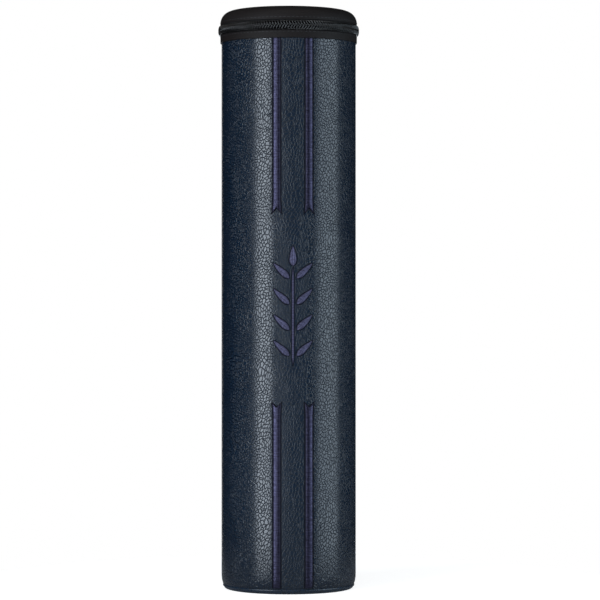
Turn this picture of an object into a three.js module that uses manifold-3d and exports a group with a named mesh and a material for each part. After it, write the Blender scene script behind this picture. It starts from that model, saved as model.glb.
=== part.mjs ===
// Round scroll case: a board tube covered in leatherette, with a zipped lid that folds back,
// four embroidered stripes and an embroidered sprig of leaves between them.
// Millimetres, +Z up. The origin is the middle of the underside, the embroidery faces -Y, and
// the lid folds over towards +Y.

import * as THREE from 'three';
import { mergeVertices } from 'three/addons/utils/BufferGeometryUtils.js';
import Module from 'manifold-3d';

const wasm = await Module();
wasm.setup();

// Overall sizes
const caseHeight = 352;
const bodyRadius = 41;

// Layers of the tube wall, from the outside in
const coverThickness = 0.9;
const tapeThickness = 0.5;
const tubeWall = 2;
const liningThickness = 0.6;
const layerGap = 0.1;
const buttGap = 0.4; // between the cover's two edges, down the back

// Flats round every shell, all shells in step, so that the layers stay parallel
const flatCount = 40;

// Zip chain
const zipDepth = 12; // middle of the zip below the top of the lid
const chainWidth = 5.8;
const coilDepth = 2;
const toothPitch = 1.5;
const toothWidth = 0.55;
const toothReach = 0.4; // how far a head passes the middle
const toothSlant = 0.35;
const coilSpine = 0.8;
const tapeSplit = 1.8; // opening between the two tapes behind the heads

// Black band under the zip
const bandThickness = 0.6;
const bandHeight = 4.7;
const bandEdgeRound = 0.2;
const bandLap = 1.2; // how far the band laps over the cover
const tapeTuck = 10.3; // how far the tape runs down below the band
const tapeStep = 1.4; // height over which the tape steps out to the chain

// Foot of the cover and the base
const footHeight = 9.5;
const footInset = 1.3;
const footSeamHeight = 2.7;
const baseEdgeWidth = 2.65; // from the rim in to the flat underside
const boardThickness = 1.8;
const baseCoverThickness = 0.9;
const baseEdgeInset = 0.4; // roundness of the base cover's edge
const padThickness = 2;
const padEdgeRound = 0.5;

// Lid
const lidRoundWidth = 7.2; // from the wall in to the flat top
const lidShoulderInset = 1.1;
const lidShoulderDrop = 0.8;
const lidEdgeGap = 0.4; // lid edge above the chain
const lidWallHeight = 2;
const lidCoverThickness = 0.7;
const lidBoardThickness = 1.8;
const lidLiningThickness = 0.5;

// Strip over the tape ends, which is the hinge
const stripWidth = 30;
const stripThickness = 0.55;
const stripLift = 0.15;
const stripMargin = 0.3;
const tapeEndGap = 8;

// Slider
const sliderLength = 10.5;
const sliderShoulder = 4.3;
const sliderTail = 3.8;
const sliderNose = 2.4;
const sliderWall = 0.7;
const frontPlate = 1;
const backPlate = 0.9;
const frontFlange = 0.8;
const backFlange = 0.4;
const runGap = 0.3;
const wedgeWidth = 3;
const bridgeLength = 7;
const bridgeWidth = 2.4;
const bridgeThickness = 0.8;

// Pull tab
const pullLength = 21;
const pullWidth = 5.4;
const pullThickness = 1.1;
const eyeBar = 0.9;
const eyeWidth = 3.2;
const eyeLength = 4.3;
const eyeOuterWidth = 4.8;

// Embroidery
const stripeWidth = 5.8;
const stripeTailWidth = 6.8;
const stripeTailLength = 9;
const stripeSpacing = 19.54; // along the surface, from middle to middle
const upperStripeEnd = 226.5;
const lowerStripeEnd = 115.6;
const upperNotch = 3.9;
const lowerNotch = 3;
const threadHeight = 0.85;
const threadLift = 0.2;
const sprigRaise = 1.45; // above the middle of the space between the stripes
const sprigHeight = 72;
const stemWidth = 2.2;
const stemFoot = 6; // bare stem below the first leaves
const leafSpacing = 15.4;
const leafLength = 13.8;
const leafWidth = 4.8;
const leafPoint = 0.5; // width of a leaf's ends
const leafGap = 0.4;
const leafLean = THREE.MathUtils.degToRad(47); // from the stem
const budLength = 12.5;
const budWidth = 5.2;

// Helper lengths
const overrun = 1; // how far a cutter runs past what it cuts
const weldDistance = 0.0005;

// Radii, from the outside in
const coverInner = bodyRadius - coverThickness;
const foamOuter = coverInner - layerGap;
const foamInner = foamOuter - tapeThickness;
const coreOuter = foamInner - layerGap;
const coreInner = coreOuter - tubeWall;
const liningOuter = coreInner - layerGap;
const liningInner = liningOuter - liningThickness;

// Radii of what stands on the cover's surface
const tapeOuter = bodyRadius - layerGap;
const tapeInner = tapeOuter - tapeThickness;
const bandInner = bodyRadius + layerGap;
const bandOuter = bandInner + bandThickness;
const coilOuter = bodyRadius + coilDepth;
const stripInner = bandOuter + stripLift;
const stripOuter = stripInner + stripThickness;

// Heights of the zip
const zipHeight = caseHeight - zipDepth;
const chainBottom = zipHeight - chainWidth / 2;
const chainTop = zipHeight + chainWidth / 2;
const lowerTapeTop = zipHeight - tapeSplit / 2;
const upperTapeBottom = zipHeight + tapeSplit / 2;
const bandTop = chainBottom - layerGap;
const bandBottom = bandTop - bandHeight;
const coverTop = bandBottom + bandLap;
const tapeBottom = bandBottom - tapeTuck;
const lidEdge = chainTop + lidEdgeGap;
const lidWallTop = lidEdge + lidWallHeight;
const liningTop = zipHeight - sliderShoulder - 2 * runGap;
const coreTop = liningTop - liningThickness - layerGap;

// Heights of the base
const baseBoardBottom = baseCoverThickness + layerGap;
const baseBoardTop = baseBoardBottom + boardThickness;
const tubeBottom = baseBoardTop + layerGap;

// Angles of the zip, measured from the middle of the back
const stripHalfAngle = stripWidth / 2 / stripInner;
const chainRadius = bodyRadius + coilDepth / 2;
const chainEndAngle = stripHalfAngle + toothWidth / chainRadius;
const parkAngle = chainEndAngle + (sliderLength / 2 + toothWidth) / chainRadius;
const tapeEndAngle = tapeEndGap / 2 / tapeOuter;

// Materials
const matte = (color, roughness) =>
  new THREE.MeshStandardMaterial({ color, roughness, metalness: 0, flatShading: true });
const materials = {
  navyLeather: matte(0x1e2c3d, 0.42),
  blackLeather: matte(0x1d1c1e, 0.5),
  thread: matte(0x3a385c, 0.45),
  coil: matte(0x131315, 0.3),
  tape: matte(0x161617, 0.85),
  board: matte(0x9c7d57, 0.9),
  foam: matte(0xc9c6bd, 0.95),
  velvet: matte(0x1b2440, 0.95),
  metal: new THREE.MeshStandardMaterial({
    color: 0x2a2a2c,
    roughness: 0.35,
    metalness: 0.9,
    flatShading: true,
  }),
};

// Turns a geometry into one welded skin that holds positions only.
function weld(geometry) {
  const bare = geometry.clone();
  bare.deleteAttribute('normal');
  bare.deleteAttribute('uv');
  const welded = mergeVertices(bare, weldDistance);
  const corners = welded.index.array;
  const kept = [];
  for (let i = 0; i < corners.length; i += 3) {
    const [a, b, c] = corners.slice(i, i + 3);
    if (a !== b && b !== c && c !== a) kept.push(a, b, c);
  }
  welded.setIndex(kept);
  return welded;
}

function toSolid(geometry) {
  const skin = weld(geometry);
  return new wasm.Manifold(
    new wasm.Mesh({
      numProp: 3,
      vertProperties: new Float32Array(skin.attributes.position.array),
      triVerts: new Uint32Array(skin.index.array),
    }),
  );
}

function fromSolid(solid) {
  const { vertProperties, triVerts } = solid.getMesh();
  const geometry = new THREE.BufferGeometry();
  geometry.setAttribute('position', new THREE.BufferAttribute(vertProperties, 3));
  geometry.setIndex(new THREE.BufferAttribute(triVerts, 1));
  return geometry;
}

// Cuts every cutter out of a geometry.
function cut(geometry, ...cutters) {
  return fromSolid(cutters.reduce((left, cutter) => left.subtract(toSolid(cutter)), toSolid(geometry)));
}

// Joins geometries in pairs, so that many small pieces join quickly.
function join(...geometries) {
  let solids = geometries.map(toSolid);
  while (solids.length > 1) {
    const next = [];
    for (let i = 0; i < solids.length; i += 2) {
      next.push(i + 1 < solids.length ? solids[i].add(solids[i + 1]) : solids[i]);
    }
    solids = next;
  }
  return fromSolid(solids[0]);
}

// Revolves a profile of [radius, height] points. A profile that is clear of the axis is closed.
function revolve(profile) {
  const points = profile.map(([r, z]) => new THREE.Vector2(r, z));
  if (profile[0][0] > 0) points.push(points[0].clone());
  return weld(new THREE.LatheGeometry(points, flatCount).rotateX(Math.PI / 2));
}

// Points of a quadratic curve through radius and height.
function curve(start, control, end, steps) {
  const bend = new THREE.QuadraticBezierCurve(
    new THREE.Vector2(...start),
    new THREE.Vector2(...control),
    new THREE.Vector2(...end),
  );
  return bend.getPoints(steps).map((p) => [p.x, p.y]);
}

function outline(points) {
  return new THREE.Shape(points.map(([x, y]) => new THREE.Vector2(x, y)));
}

// Extrudes a plan drawn along the chain and up, from an outer face inwards by a depth.
function plate(shape, outerFace, depth) {
  return new THREE.ExtrudeGeometry(shape, { depth, bevelEnabled: false, curveSegments: 4 })
    .rotateX(Math.PI / 2)
    .translate(0, outerFace, 0);
}

// A wedge of space about the axis at the back, wide enough to open a ring there.
function backWedge(halfAngle, bottom, top) {
  const far = 2 * bodyRadius;
  const side = far * Math.tan(halfAngle);
  const shape = outline([[0, 0], [side, far], [-side, far]]);
  const depth = top - bottom + 2 * overrun;
  return new THREE.ExtrudeGeometry(shape, { depth, bevelEnabled: false }).translate(
    0,
    0,
    bottom - overrun,
  );
}

// Joins equal rings of points into a closed skin with flat ends.
function loft(rings) {
  const count = rings[0].length;
  const positions = rings.flat().flatMap((p) => p.toArray());
  const index = [];
  for (let i = 0; i + 1 < rings.length; i++) {
    for (let j = 0; j < count; j++) {
      const a = i * count + j;
      const b = i * count + ((j + 1) % count);
      index.push(a, b, b + count, a, b + count, a + count);
    }
  }
  const last = (rings.length - 1) * count;
  for (let j = 1; j + 1 < count; j++) {
    index.push(0, j + 1, j);
    index.push(last, last + j, last + j + 1);
  }
  const geometry = new THREE.BufferGeometry();
  geometry.setAttribute('position', new THREE.Float32BufferAttribute(positions, 3));
  geometry.setIndex(index);
  return geometry;
}

// Wraps a flat piece, drawn along the surface, up and outwards, round the front of the case.
function wrap(geometry) {
  const position = geometry.attributes.position;
  for (let i = 0; i < position.count; i++) {
    const angle = position.getX(i) / bodyRadius;
    const radius = bodyRadius + position.getZ(i);
    position.setXYZ(i, radius * Math.sin(angle), -radius * Math.cos(angle), position.getY(i));
  }
  return geometry;
}

// Curve of the cover's foot, from the straight wall down to the seam with the base.
const footSteps = 4;
const footWaistShare = 0.72;
const footWaist = footHeight - (footHeight - footSeamHeight) * footWaistShare;
const footCurve = curve(
  [bodyRadius, footHeight],
  [bodyRadius, footWaist],
  [bodyRadius - footInset, footSeamHeight],
  footSteps,
);

function bodyCover() {
  const hemOuter = bodyRadius - footInset;
  const hemInner = foamInner + layerGap / 2;
  const profile = [
    [coverInner, coverTop],
    [coverInner, footHeight - baseCoverThickness],
    [hemInner, footWaist - layerGap],
    [hemInner, footSeamHeight + layerGap],
    [hemOuter, footSeamHeight],
    ...footCurve.slice(0, -1).reverse(),
    [bodyRadius, coverTop],
  ];
  const groove = new THREE.BoxGeometry(buttGap, coverThickness, caseHeight).translate(
    0,
    bodyRadius,
    caseHeight / 2,
  );
  return cut(revolve(profile), groove);
}

function foamWrap() {
  const top = tapeBottom - layerGap;
  const bottom = footHeight;
  return revolve([[foamInner, top], [foamInner, bottom], [foamOuter, bottom], [foamOuter, top]]);
}

function tubeCore() {
  return revolve([
    [coreInner, coreTop],
    [coreInner, tubeBottom],
    [coreOuter, tubeBottom],
    [coreOuter, coreTop],
  ]);
}

function bodyLining() {
  return revolve([
    [liningInner, liningTop],
    [liningInner, tubeBottom],
    [liningOuter, tubeBottom],
    [liningOuter, coreTop + layerGap],
    [coreOuter, coreTop + layerGap],
    [coreOuter, liningTop],
  ]);
}

function baseCover() {
  const rimOuter = bodyRadius - footInset - layerGap / 2;
  const rimInner = rimOuter - baseCoverThickness;
  const rimTop = footSeamHeight;
  const corner = curve(
    [rimOuter - baseEdgeWidth, 0],
    [rimOuter - baseEdgeInset, layerGap],
    [rimOuter, rimTop - layerGap],
    footSteps,
  );
  return revolve([
    [0, 0],
    ...corner,
    [rimOuter - layerGap, rimTop],
    [rimInner, rimTop],
    [rimInner, baseCoverThickness + layerGap],
    [rimInner - layerGap, baseCoverThickness],
    [0, baseCoverThickness],
  ]);
}

function baseBoard() {
  const radius = bodyRadius - footInset - baseCoverThickness - 2 * layerGap;
  return revolve([
    [0, baseBoardBottom],
    [radius, baseBoardBottom],
    [radius, baseBoardTop],
    [0, baseBoardTop],
  ]);
}

function floorPad() {
  const radius = liningInner - layerGap;
  const top = tubeBottom + padThickness;
  return revolve([
    [0, tubeBottom],
    [radius, tubeBottom],
    [radius, top - padEdgeRound],
    [radius - padEdgeRound, top],
    [0, top],
  ]);
}

function lowerBand() {
  return revolve([
    [bandInner, bandTop],
    [bandInner, bandBottom],
    [bandOuter - bandEdgeRound, bandBottom],
    [bandOuter, bandBottom + bandEdgeRound],
    [bandOuter, bandTop - bandEdgeRound],
    [bandOuter - bandEdgeRound, bandTop],
  ]);
}

// The lid's crown as a curve that each layer follows at its own depth below the surface.
const crownSteps = 4;
const lidFlatRadius = bandOuter - lidRoundWidth;
function crown(depth) {
  return curve(
    [lidFlatRadius, caseHeight - depth],
    [bandOuter - lidShoulderInset - depth, caseHeight - lidShoulderDrop - depth],
    [bandOuter - depth, lidWallTop],
    crownSteps,
  );
}

const lidTapeDepth = lidCoverThickness + layerGap;
const lidBoardDepth = lidTapeDepth + tapeThickness + layerGap;
const lidLiningDepth = lidBoardDepth + lidBoardThickness + layerGap;
const lidInnerDepth = lidLiningDepth + lidLiningThickness;

function lidCover() {
  const inner = crown(lidCoverThickness);
  return revolve([
    [0, caseHeight - lidCoverThickness],
    ...inner,
    [bandOuter - lidCoverThickness, lidEdge],
    [bandOuter - bandEdgeRound, lidEdge],
    [bandOuter, lidEdge + bandEdgeRound],
    ...crown(0).reverse(),
    [0, caseHeight],
  ]);
}

// A cap between two depths below the lid's surface.
function capShell(outerDepth, innerDepth) {
  return revolve([
    [0, caseHeight - innerDepth],
    ...crown(innerDepth),
    ...crown(outerDepth).reverse(),
    [0, caseHeight - outerDepth],
  ]);
}

function lidBoard() {
  return capShell(lidBoardDepth, lidLiningDepth - layerGap);
}

function lidLining() {
  return capShell(lidLiningDepth, lidInnerDepth);
}

// The foam lies on the board, inside the turned-in edge of the tape.
const tapeTurn = 2; // step of the crown where the tape ends
function lidFoam() {
  return revolve([
    [0, caseHeight - lidBoardDepth + layerGap],
    ...crown(lidBoardDepth - layerGap).slice(0, tapeTurn),
    ...crown(lidTapeDepth).slice(0, tapeTurn).reverse(),
    [0, caseHeight - lidTapeDepth],
  ]);
}

// Tape of the body: flat under the cover, then a step out to the surface, where the coil sits.
function lowerTape() {
  const stepTop = coverTop + tapeStep + layerGap * 2;
  const stepBottom = coverTop + layerGap * 2;
  const ring = revolve([
    [foamInner, stepBottom + tapeThickness],
    [foamInner, tapeBottom],
    [foamOuter, tapeBottom],
    [foamOuter, stepBottom],
    [tapeOuter, stepTop],
    [tapeOuter, lowerTapeTop],
    [tapeInner, lowerTapeTop],
    [tapeInner, stepTop + tapeThickness],
  ]);
  return cut(ring, backWedge(tapeEndAngle, tapeBottom, lowerTapeTop), wedgeSpace());
}

// Tape of the lid: up the wall and then turned in over the board, under the cap.
function upperTape() {
  const outer = crown(lidTapeDepth).slice(tapeTurn);
  const inner = crown(lidBoardDepth - layerGap).slice(tapeTurn);
  const outerRadius = bandOuter - lidTapeDepth;
  const innerRadius = outerRadius - tapeThickness;
  const ring = revolve([
    ...inner,
    [innerRadius, upperTapeBottom],
    [outerRadius, upperTapeBottom],
    ...outer.reverse(),
  ]);
  return cut(ring, backWedge(tapeEndAngle, upperTapeBottom, caseHeight), wedgeSpace());
}

// One coil row, drawn about the middle of the zip as the upper one: a spine along the tape and
// a slanted loop for every pitch, which passes the middle between two loops of the other row.
// The lower row is the same part turned over, half a pitch along and slanted the other way.
function coilRow(side) {
  const spineBottom = chainWidth / 2 - coilSpine;
  const spine = revolve([
    [bodyRadius, chainWidth / 2],
    [bodyRadius, spineBottom],
    [coilOuter, spineBottom],
    [coilOuter, chainWidth / 2 - coilSpine / 2],
    [coilOuter - coilSpine / 2, chainWidth / 2],
  ]);
  const root = toothWidth / 2;
  const inner = bodyRadius + layerGap;
  const outer = coilOuter * Math.cos(Math.PI / flatCount) - layerGap / 2;
  const section = outline([
    [-root, inner],
    [root, inner],
    [root / 2, outer],
    [-root / 2, outer],
  ]);
  const lean = new THREE.Matrix4();
  lean.elements[8] = (side * toothSlant) / (chainWidth / 2);
  const depth = toothReach + spineBottom + coilSpine / 4;
  const loop = new THREE.ExtrudeGeometry(section, { depth, bevelEnabled: false })
    .translate(0, 0, -toothReach)
    .applyMatrix4(lean);
  const arc = 2 * (Math.PI - chainEndAngle);
  const count = Math.floor((arc * chainRadius) / toothPitch) - 1;
  const step = arc / (count + 1);
  const phase = side > 0 ? 1 / 2 : 1;
  const loops = [];
  for (let i = 0; i < count; i++) {
    loops.push(loop.clone().rotateZ(-(chainEndAngle + (i + phase) * step)));
  }
  const row = join(cut(spine, backWedge(chainEndAngle, -chainWidth, chainWidth)), ...loops);
  if (side < 0) row.rotateY(Math.PI);
  return cut(row.translate(0, 0, zipHeight), wedgeSpace());
}

// Space that the slider's wedge takes between the rows, with running clearance.
function wedgeSpace() {
  const half = wedgeWidth / 2 + runGap;
  const shape = outline([
    [-sliderLength / 2 - runGap, -half],
    [runGap, -half],
    [runGap, half],
    [-sliderLength / 2 - runGap, half],
  ]);
  const depth = coilOuter - tapeInner + 2 * overrun;
  return plate(shape, coilOuter + overrun, depth).translate(0, 0, zipHeight).rotateZ(-parkAngle);
}

// The two plates face the tape from inside and the coils from outside.
const seatRadius = tapeInner * Math.cos(Math.PI / flatCount);
const backFlangeFace = Math.sqrt(seatRadius ** 2 - (sliderLength / 2) ** 2) - runGap / 2;
const backPlateFace = backFlangeFace - backFlange;
const frontPlateInner = coilOuter + runGap;
const frontPlateOuter = frontPlateInner + frontPlate;
const pivotLift = Math.hypot(pullThickness / 2, eyeBar / 2) + runGap / 2;
const pivotRadius = frontPlateOuter + pivotLift;

function sliderOutline() {
  const half = sliderLength / 2;
  const shape = new THREE.Shape();
  shape.moveTo(-half, sliderNose);
  shape.quadraticCurveTo(-half, sliderShoulder, -half / 2, sliderShoulder);
  shape.quadraticCurveTo(0, sliderShoulder, half / 4, sliderTail);
  shape.lineTo(half - sliderWall, sliderTail);
  shape.lineTo(half, sliderTail - sliderWall);
  shape.lineTo(half, sliderWall - sliderTail);
  shape.lineTo(half - sliderWall, -sliderTail);
  shape.lineTo(half / 4, -sliderTail);
  shape.quadraticCurveTo(0, -sliderShoulder, -half / 2, -sliderShoulder);
  shape.quadraticCurveTo(-half, -sliderShoulder, -half, -sliderNose);
  return shape;
}

// Channel for the chain between a plate's side walls, wider towards the nose.
function channel(outerFace, depth) {
  const half = sliderLength / 2 + overrun;
  const nose = sliderShoulder - sliderWall;
  const tail = sliderTail - sliderWall;
  const shape = outline([
    [-half, -nose],
    [-half / 3, -nose],
    [half / 4, -tail],
    [half, -tail],
    [half, tail],
    [half / 4, tail],
    [-half / 3, nose],
    [-half, nose],
  ]);
  return plate(shape, outerFace, depth);
}

function sliderBody() {
  const front = cut(
    plate(sliderOutline(), frontPlateOuter, frontPlate + frontFlange),
    channel(frontPlateInner, frontFlange + overrun),
  );
  const back = cut(
    plate(sliderOutline(), backFlangeFace, backPlate + backFlange),
    channel(backFlangeFace + overrun, backFlange + overrun),
  );
  const wedgeNose = sliderLength / 2 - sliderWall / 2;
  const wedgeTail = sliderWall / 2;
  const wedge = plate(
    outline([
      [-wedgeNose, 0],
      [-(wedgeNose + wedgeTail) / 2, -wedgeWidth / 2],
      [-wedgeTail, 0],
      [-(wedgeNose + wedgeTail) / 2, wedgeWidth / 2],
    ]),
    frontPlateInner + frontPlate / 2,
    frontPlateInner - backPlateFace + (frontPlate + backPlate) / 2,
  );
  return join(front, back, wedge, bridge());
}

// Arch that holds the pull, drawn from the side and as wide as the bridge.
function bridge() {
  const foot = frontPlateOuter - frontPlate / 2;
  const roomTop = pivotRadius + pivotLift;
  const top = roomTop + bridgeThickness;
  const half = bridgeLength / 2;
  const inner = half - bridgeThickness;
  const arch = new THREE.Shape();
  arch.moveTo(-half, foot);
  arch.lineTo(-half, pivotRadius);
  arch.quadraticCurveTo(-half, top, -inner / 2, top);
  arch.lineTo(inner / 2, top);
  arch.quadraticCurveTo(half, top, half, pivotRadius);
  arch.lineTo(half, foot);
  arch.lineTo(inner, foot);
  arch.lineTo(inner, pivotRadius);
  arch.quadraticCurveTo(inner, roomTop, inner / 2, roomTop);
  arch.lineTo(-inner / 2, roomTop);
  arch.quadraticCurveTo(-inner, roomTop, -inner, pivotRadius);
  arch.lineTo(-inner, foot);
  const shape = { depth: bridgeWidth, bevelEnabled: false, curveSegments: 4 };
  return new THREE.ExtrudeGeometry(arch, shape).translate(0, 0, -bridgeWidth / 2);
}

// Flat tab with an eye that takes the bridge. Its bar turns under the bridge, at the pivot.
function pullTab() {
  const bar = eyeBar / 2;
  const round = pullWidth / 2;
  const chamfer = eyeBar / 3;
  const shape = new THREE.Shape();
  shape.moveTo(-bar, -eyeOuterWidth / 2 + chamfer);
  shape.lineTo(-bar + chamfer, -eyeOuterWidth / 2);
  shape.lineTo(eyeLength, -eyeOuterWidth / 2);
  shape.lineTo(eyeLength + round, -pullWidth / 2);
  shape.lineTo(pullLength - round, -pullWidth / 2);
  shape.absarc(pullLength - round, 0, round, -Math.PI / 2, Math.PI / 2, false);
  shape.lineTo(eyeLength + round, pullWidth / 2);
  shape.lineTo(eyeLength, eyeOuterWidth / 2);
  shape.lineTo(-bar + chamfer, eyeOuterWidth / 2);
  shape.lineTo(-bar, eyeOuterWidth / 2 - chamfer);
  const eye = [[bar, -eyeWidth / 2], [bar, eyeWidth / 2], [eyeLength, eyeWidth / 2]];
  shape.holes.push(
    new THREE.Path([...eye, [eyeLength, -eyeWidth / 2]].map(([x, y]) => new THREE.Vector2(x, y))),
  );
  return plate(shape, pullThickness / 2, pullThickness);
}

function hingeStrip() {
  const from = Math.PI / 2 - stripHalfAngle;
  const to = Math.PI / 2 + stripHalfAngle;
  const shape = new THREE.Shape();
  shape.absarc(0, 0, stripOuter, from, to, false);
  shape.absarc(0, 0, stripInner, to, from, true);
  const bottom = bandBottom + stripMargin;
  const depth = lidWallTop - bottom;
  const options = { depth, bevelEnabled: false, curveSegments: 4 };
  return new THREE.ExtrudeGeometry(shape, options).translate(0, 0, bottom);
}

// Raised section of satin stitch, as shares of its half width and height.
const satinShares = [[1, 0], [-1, 0], [-0.78, 0.7], [0, 1], [0.78, 0.7]];

// One section of raised satin, drawn flat: along the surface, up, and outwards. It is square to
// a thread that leans from the vertical by an angle.
function satinRing({ x, y, width, lean = 0, sink = 0, height = threadHeight }) {
  return satinShares.map(([across, up]) => {
    const side = (across * width) / 2;
    const lift = threadLift - sink + up * height;
    return new THREE.Vector3(x + side * Math.cos(lean), y - side * Math.sin(lean), lift);
  });
}

// Cuts a V out of an end. A positive depth points up and a negative one down.
function swallowTail(x, end, depth, width) {
  const mouth = end - Math.sign(depth) * overrun;
  const spread = (width / 2) * (1 + overrun / Math.abs(depth));
  const shape = outline([[x, end + depth], [x - spread, mouth], [x + spread, mouth]]);
  const reach = threadLift + threadHeight + 2 * overrun;
  return new THREE.ExtrudeGeometry(shape, { depth: reach, bevelEnabled: false }).translate(
    0,
    0,
    -overrun,
  );
}

function upperStripe(side) {
  const x = (side * stripeSpacing) / 2;
  const rings = [
    satinRing({ x, y: upperStripeEnd, width: stripeTailWidth }),
    satinRing({ x, y: upperStripeEnd + stripeTailLength, width: stripeWidth }),
    satinRing({ x, y: bandBottom - layerGap, width: stripeWidth }),
  ];
  return wrap(cut(loft(rings), swallowTail(x, upperStripeEnd, upperNotch, stripeTailWidth)));
}

// The lower stripes follow the cover round its foot, down to the seam.
function lowerStripe(side) {
  const x = (side * stripeSpacing) / 2;
  const foot = footCurve
    .slice(0, -1)
    .reverse()
    .map(([radius, y]) => satinRing({ x, y, width: stripeWidth, sink: bodyRadius - radius }));
  const rings = [
    ...foot,
    satinRing({ x, y: lowerStripeEnd - stripeTailLength, width: stripeWidth }),
    satinRing({ x, y: lowerStripeEnd, width: stripeTailWidth }),
  ];
  return wrap(cut(loft(rings), swallowTail(x, lowerStripeEnd, -lowerNotch, stripeTailWidth)));
}

// Sprig of leaves: a stem, pairs of leaves up its sides and a bud on its tip.
const sprigMiddle = (upperStripeEnd + lowerStripeEnd) / 2 + sprigRaise;
const sprigBottom = sprigMiddle - sprigHeight / 2;
const stemTop = sprigBottom + sprigHeight - budLength - leafGap;
const leafPairs = Math.floor((stemTop - sprigBottom - stemFoot) / leafSpacing) + 1;
const leafRings = 7;
const leafBellyShare = 0.8; // under 1, the widest place is nearer the base
const leafFullnessShare = 0.75;

// A pointed oval of satin from its base, along a straight line that leans from the vertical.
function leaf(x, y, length, width, lean) {
  const rings = [];
  for (let i = 0; i < leafRings; i++) {
    const share = i / (leafRings - 1);
    const fullness = Math.sin(Math.PI * share ** leafBellyShare) ** leafFullnessShare;
    rings.push(
      satinRing({
        x: x + length * share * Math.sin(lean),
        y: y + length * share * Math.cos(lean),
        width: leafPoint + (width - leafPoint) * fullness,
        height: (threadHeight * (1 + fullness)) / 2,
        lean,
      }),
    );
  }
  return wrap(loft(rings));
}

function stem() {
  const rings = [
    satinRing({ x: 0, y: sprigBottom, width: leafPoint, height: threadHeight / 2 }),
    satinRing({ x: 0, y: sprigBottom + stemFoot / 2, width: stemWidth }),
    satinRing({ x: 0, y: stemTop - leafSpacing / 2, width: stemWidth }),
    satinRing({ x: 0, y: stemTop, width: stemWidth / 2, height: threadHeight / 2 }),
  ];
  return wrap(loft(rings));
}

// Assembly
const scrollCase = new THREE.Group();

function piece(parent, name, geometry, material) {
  const mesh = new THREE.Mesh(geometry, material);
  mesh.name = name;
  parent.add(mesh);
  return mesh;
}

const { navyLeather, blackLeather, thread, coil, tape, board, foam, velvet, metal } = materials;

const tube = new THREE.Group();
piece(tube, 'tube_core', tubeCore(), board);
piece(tube, 'foam_wrap', foamWrap(), foam);
piece(tube, 'body_cover', bodyCover(), navyLeather);
piece(tube, 'body_lining', bodyLining(), velvet);
piece(tube, 'base_board', baseBoard(), board);
piece(tube, 'base_cover', baseCover(), navyLeather);
piece(tube, 'floor_pad', floorPad(), velvet);
piece(tube, 'lower_band', lowerBand(), blackLeather);
piece(tube, 'lower_tape', lowerTape(), tape);
piece(tube, 'lower_teeth', coilRow(-1), coil);
piece(tube, 'hinge_strip', hingeStrip(), blackLeather);
for (const [name, side] of [['left', -1], ['right', 1]]) {
  piece(tube, `stripe_upper_${name}`, upperStripe(side), thread);
  piece(tube, `stripe_lower_${name}`, lowerStripe(side), thread);
}
piece(tube, 'sprig_stem', stem(), thread);
piece(tube, 'sprig_bud', leaf(0, stemTop + leafGap, budLength, budWidth, 0), thread);
for (let pair = 0; pair < leafPairs; pair++) {
  for (const [name, side] of [['left', -1], ['right', 1]]) {
    const x = side * (stemWidth / 2 + leafGap + leafPoint);
    const y = sprigBottom + stemFoot + pair * leafSpacing;
    const blade = leaf(x, y, leafLength, leafWidth, side * leafLean);
    piece(tube, `sprig_leaf_${name}_${pair + 1}`, blade, thread);
  }
}
scrollCase.add(tube);

const lid = new THREE.Group();
piece(lid, 'lid_cover', lidCover(), blackLeather);
piece(lid, 'lid_foam', lidFoam(), foam);
piece(lid, 'lid_board', lidBoard(), board);
piece(lid, 'lid_lining', lidLining(), velvet);
piece(lid, 'upper_tape', upperTape(), tape);
piece(lid, 'upper_teeth', coilRow(1), coil);
scrollCase.add(lid);

const slider = new THREE.Group();
slider.position.z = zipHeight;
slider.rotation.z = -parkAngle;
piece(slider, 'slider_body', sliderBody(), metal);
piece(slider, 'pull_tab', pullTab(), metal).position.y = pivotRadius;
scrollCase.add(slider);

export default scrollCase;
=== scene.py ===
"""Looks of a tall round scroll case: leatherette body, zipped lid and raised embroidery.

Everything is in metres, in the part's own frame: +Z up, the embroidery faces -Y and the lid
folds back towards +Y. Only the sizes of patterns in the finishes are in millimetres.
"""

import logging
import math
from dataclasses import dataclass, field
from enum import Enum
from functools import cache
from typing import Callable, Sequence

import bmesh
import bpy
from mathutils import Matrix, Vector
from mathutils.kdtree import KDTree


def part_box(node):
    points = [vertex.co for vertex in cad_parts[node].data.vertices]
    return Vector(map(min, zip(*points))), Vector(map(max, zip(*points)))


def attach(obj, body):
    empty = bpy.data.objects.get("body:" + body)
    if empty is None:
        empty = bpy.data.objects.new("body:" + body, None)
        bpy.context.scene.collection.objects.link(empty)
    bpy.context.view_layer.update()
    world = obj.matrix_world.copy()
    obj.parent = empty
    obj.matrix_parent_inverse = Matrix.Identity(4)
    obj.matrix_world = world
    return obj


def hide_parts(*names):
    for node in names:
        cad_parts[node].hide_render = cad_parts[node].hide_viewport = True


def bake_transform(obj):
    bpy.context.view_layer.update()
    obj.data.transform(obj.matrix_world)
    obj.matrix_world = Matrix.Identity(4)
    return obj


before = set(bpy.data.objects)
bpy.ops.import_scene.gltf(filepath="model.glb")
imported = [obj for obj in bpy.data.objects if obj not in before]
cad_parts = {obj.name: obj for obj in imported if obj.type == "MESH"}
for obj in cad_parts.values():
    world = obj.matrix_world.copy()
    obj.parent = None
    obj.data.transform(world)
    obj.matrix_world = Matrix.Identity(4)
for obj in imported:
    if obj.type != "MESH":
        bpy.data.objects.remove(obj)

LOG = logging.getLogger("scroll_case")

MM = 0.001
GLUE = 0.1 * MM
FULL_TURN = 2 * math.pi
BACK = math.pi / 2
WELD = 0.002 * MM
SHARP_ANGLE = math.radians(38)
SIDES = (("left", -1), ("right", 1))

Colour = tuple[float, float, float]
Triple = tuple[float, float, float]
Point = tuple[float, float]
Setting = object


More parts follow.
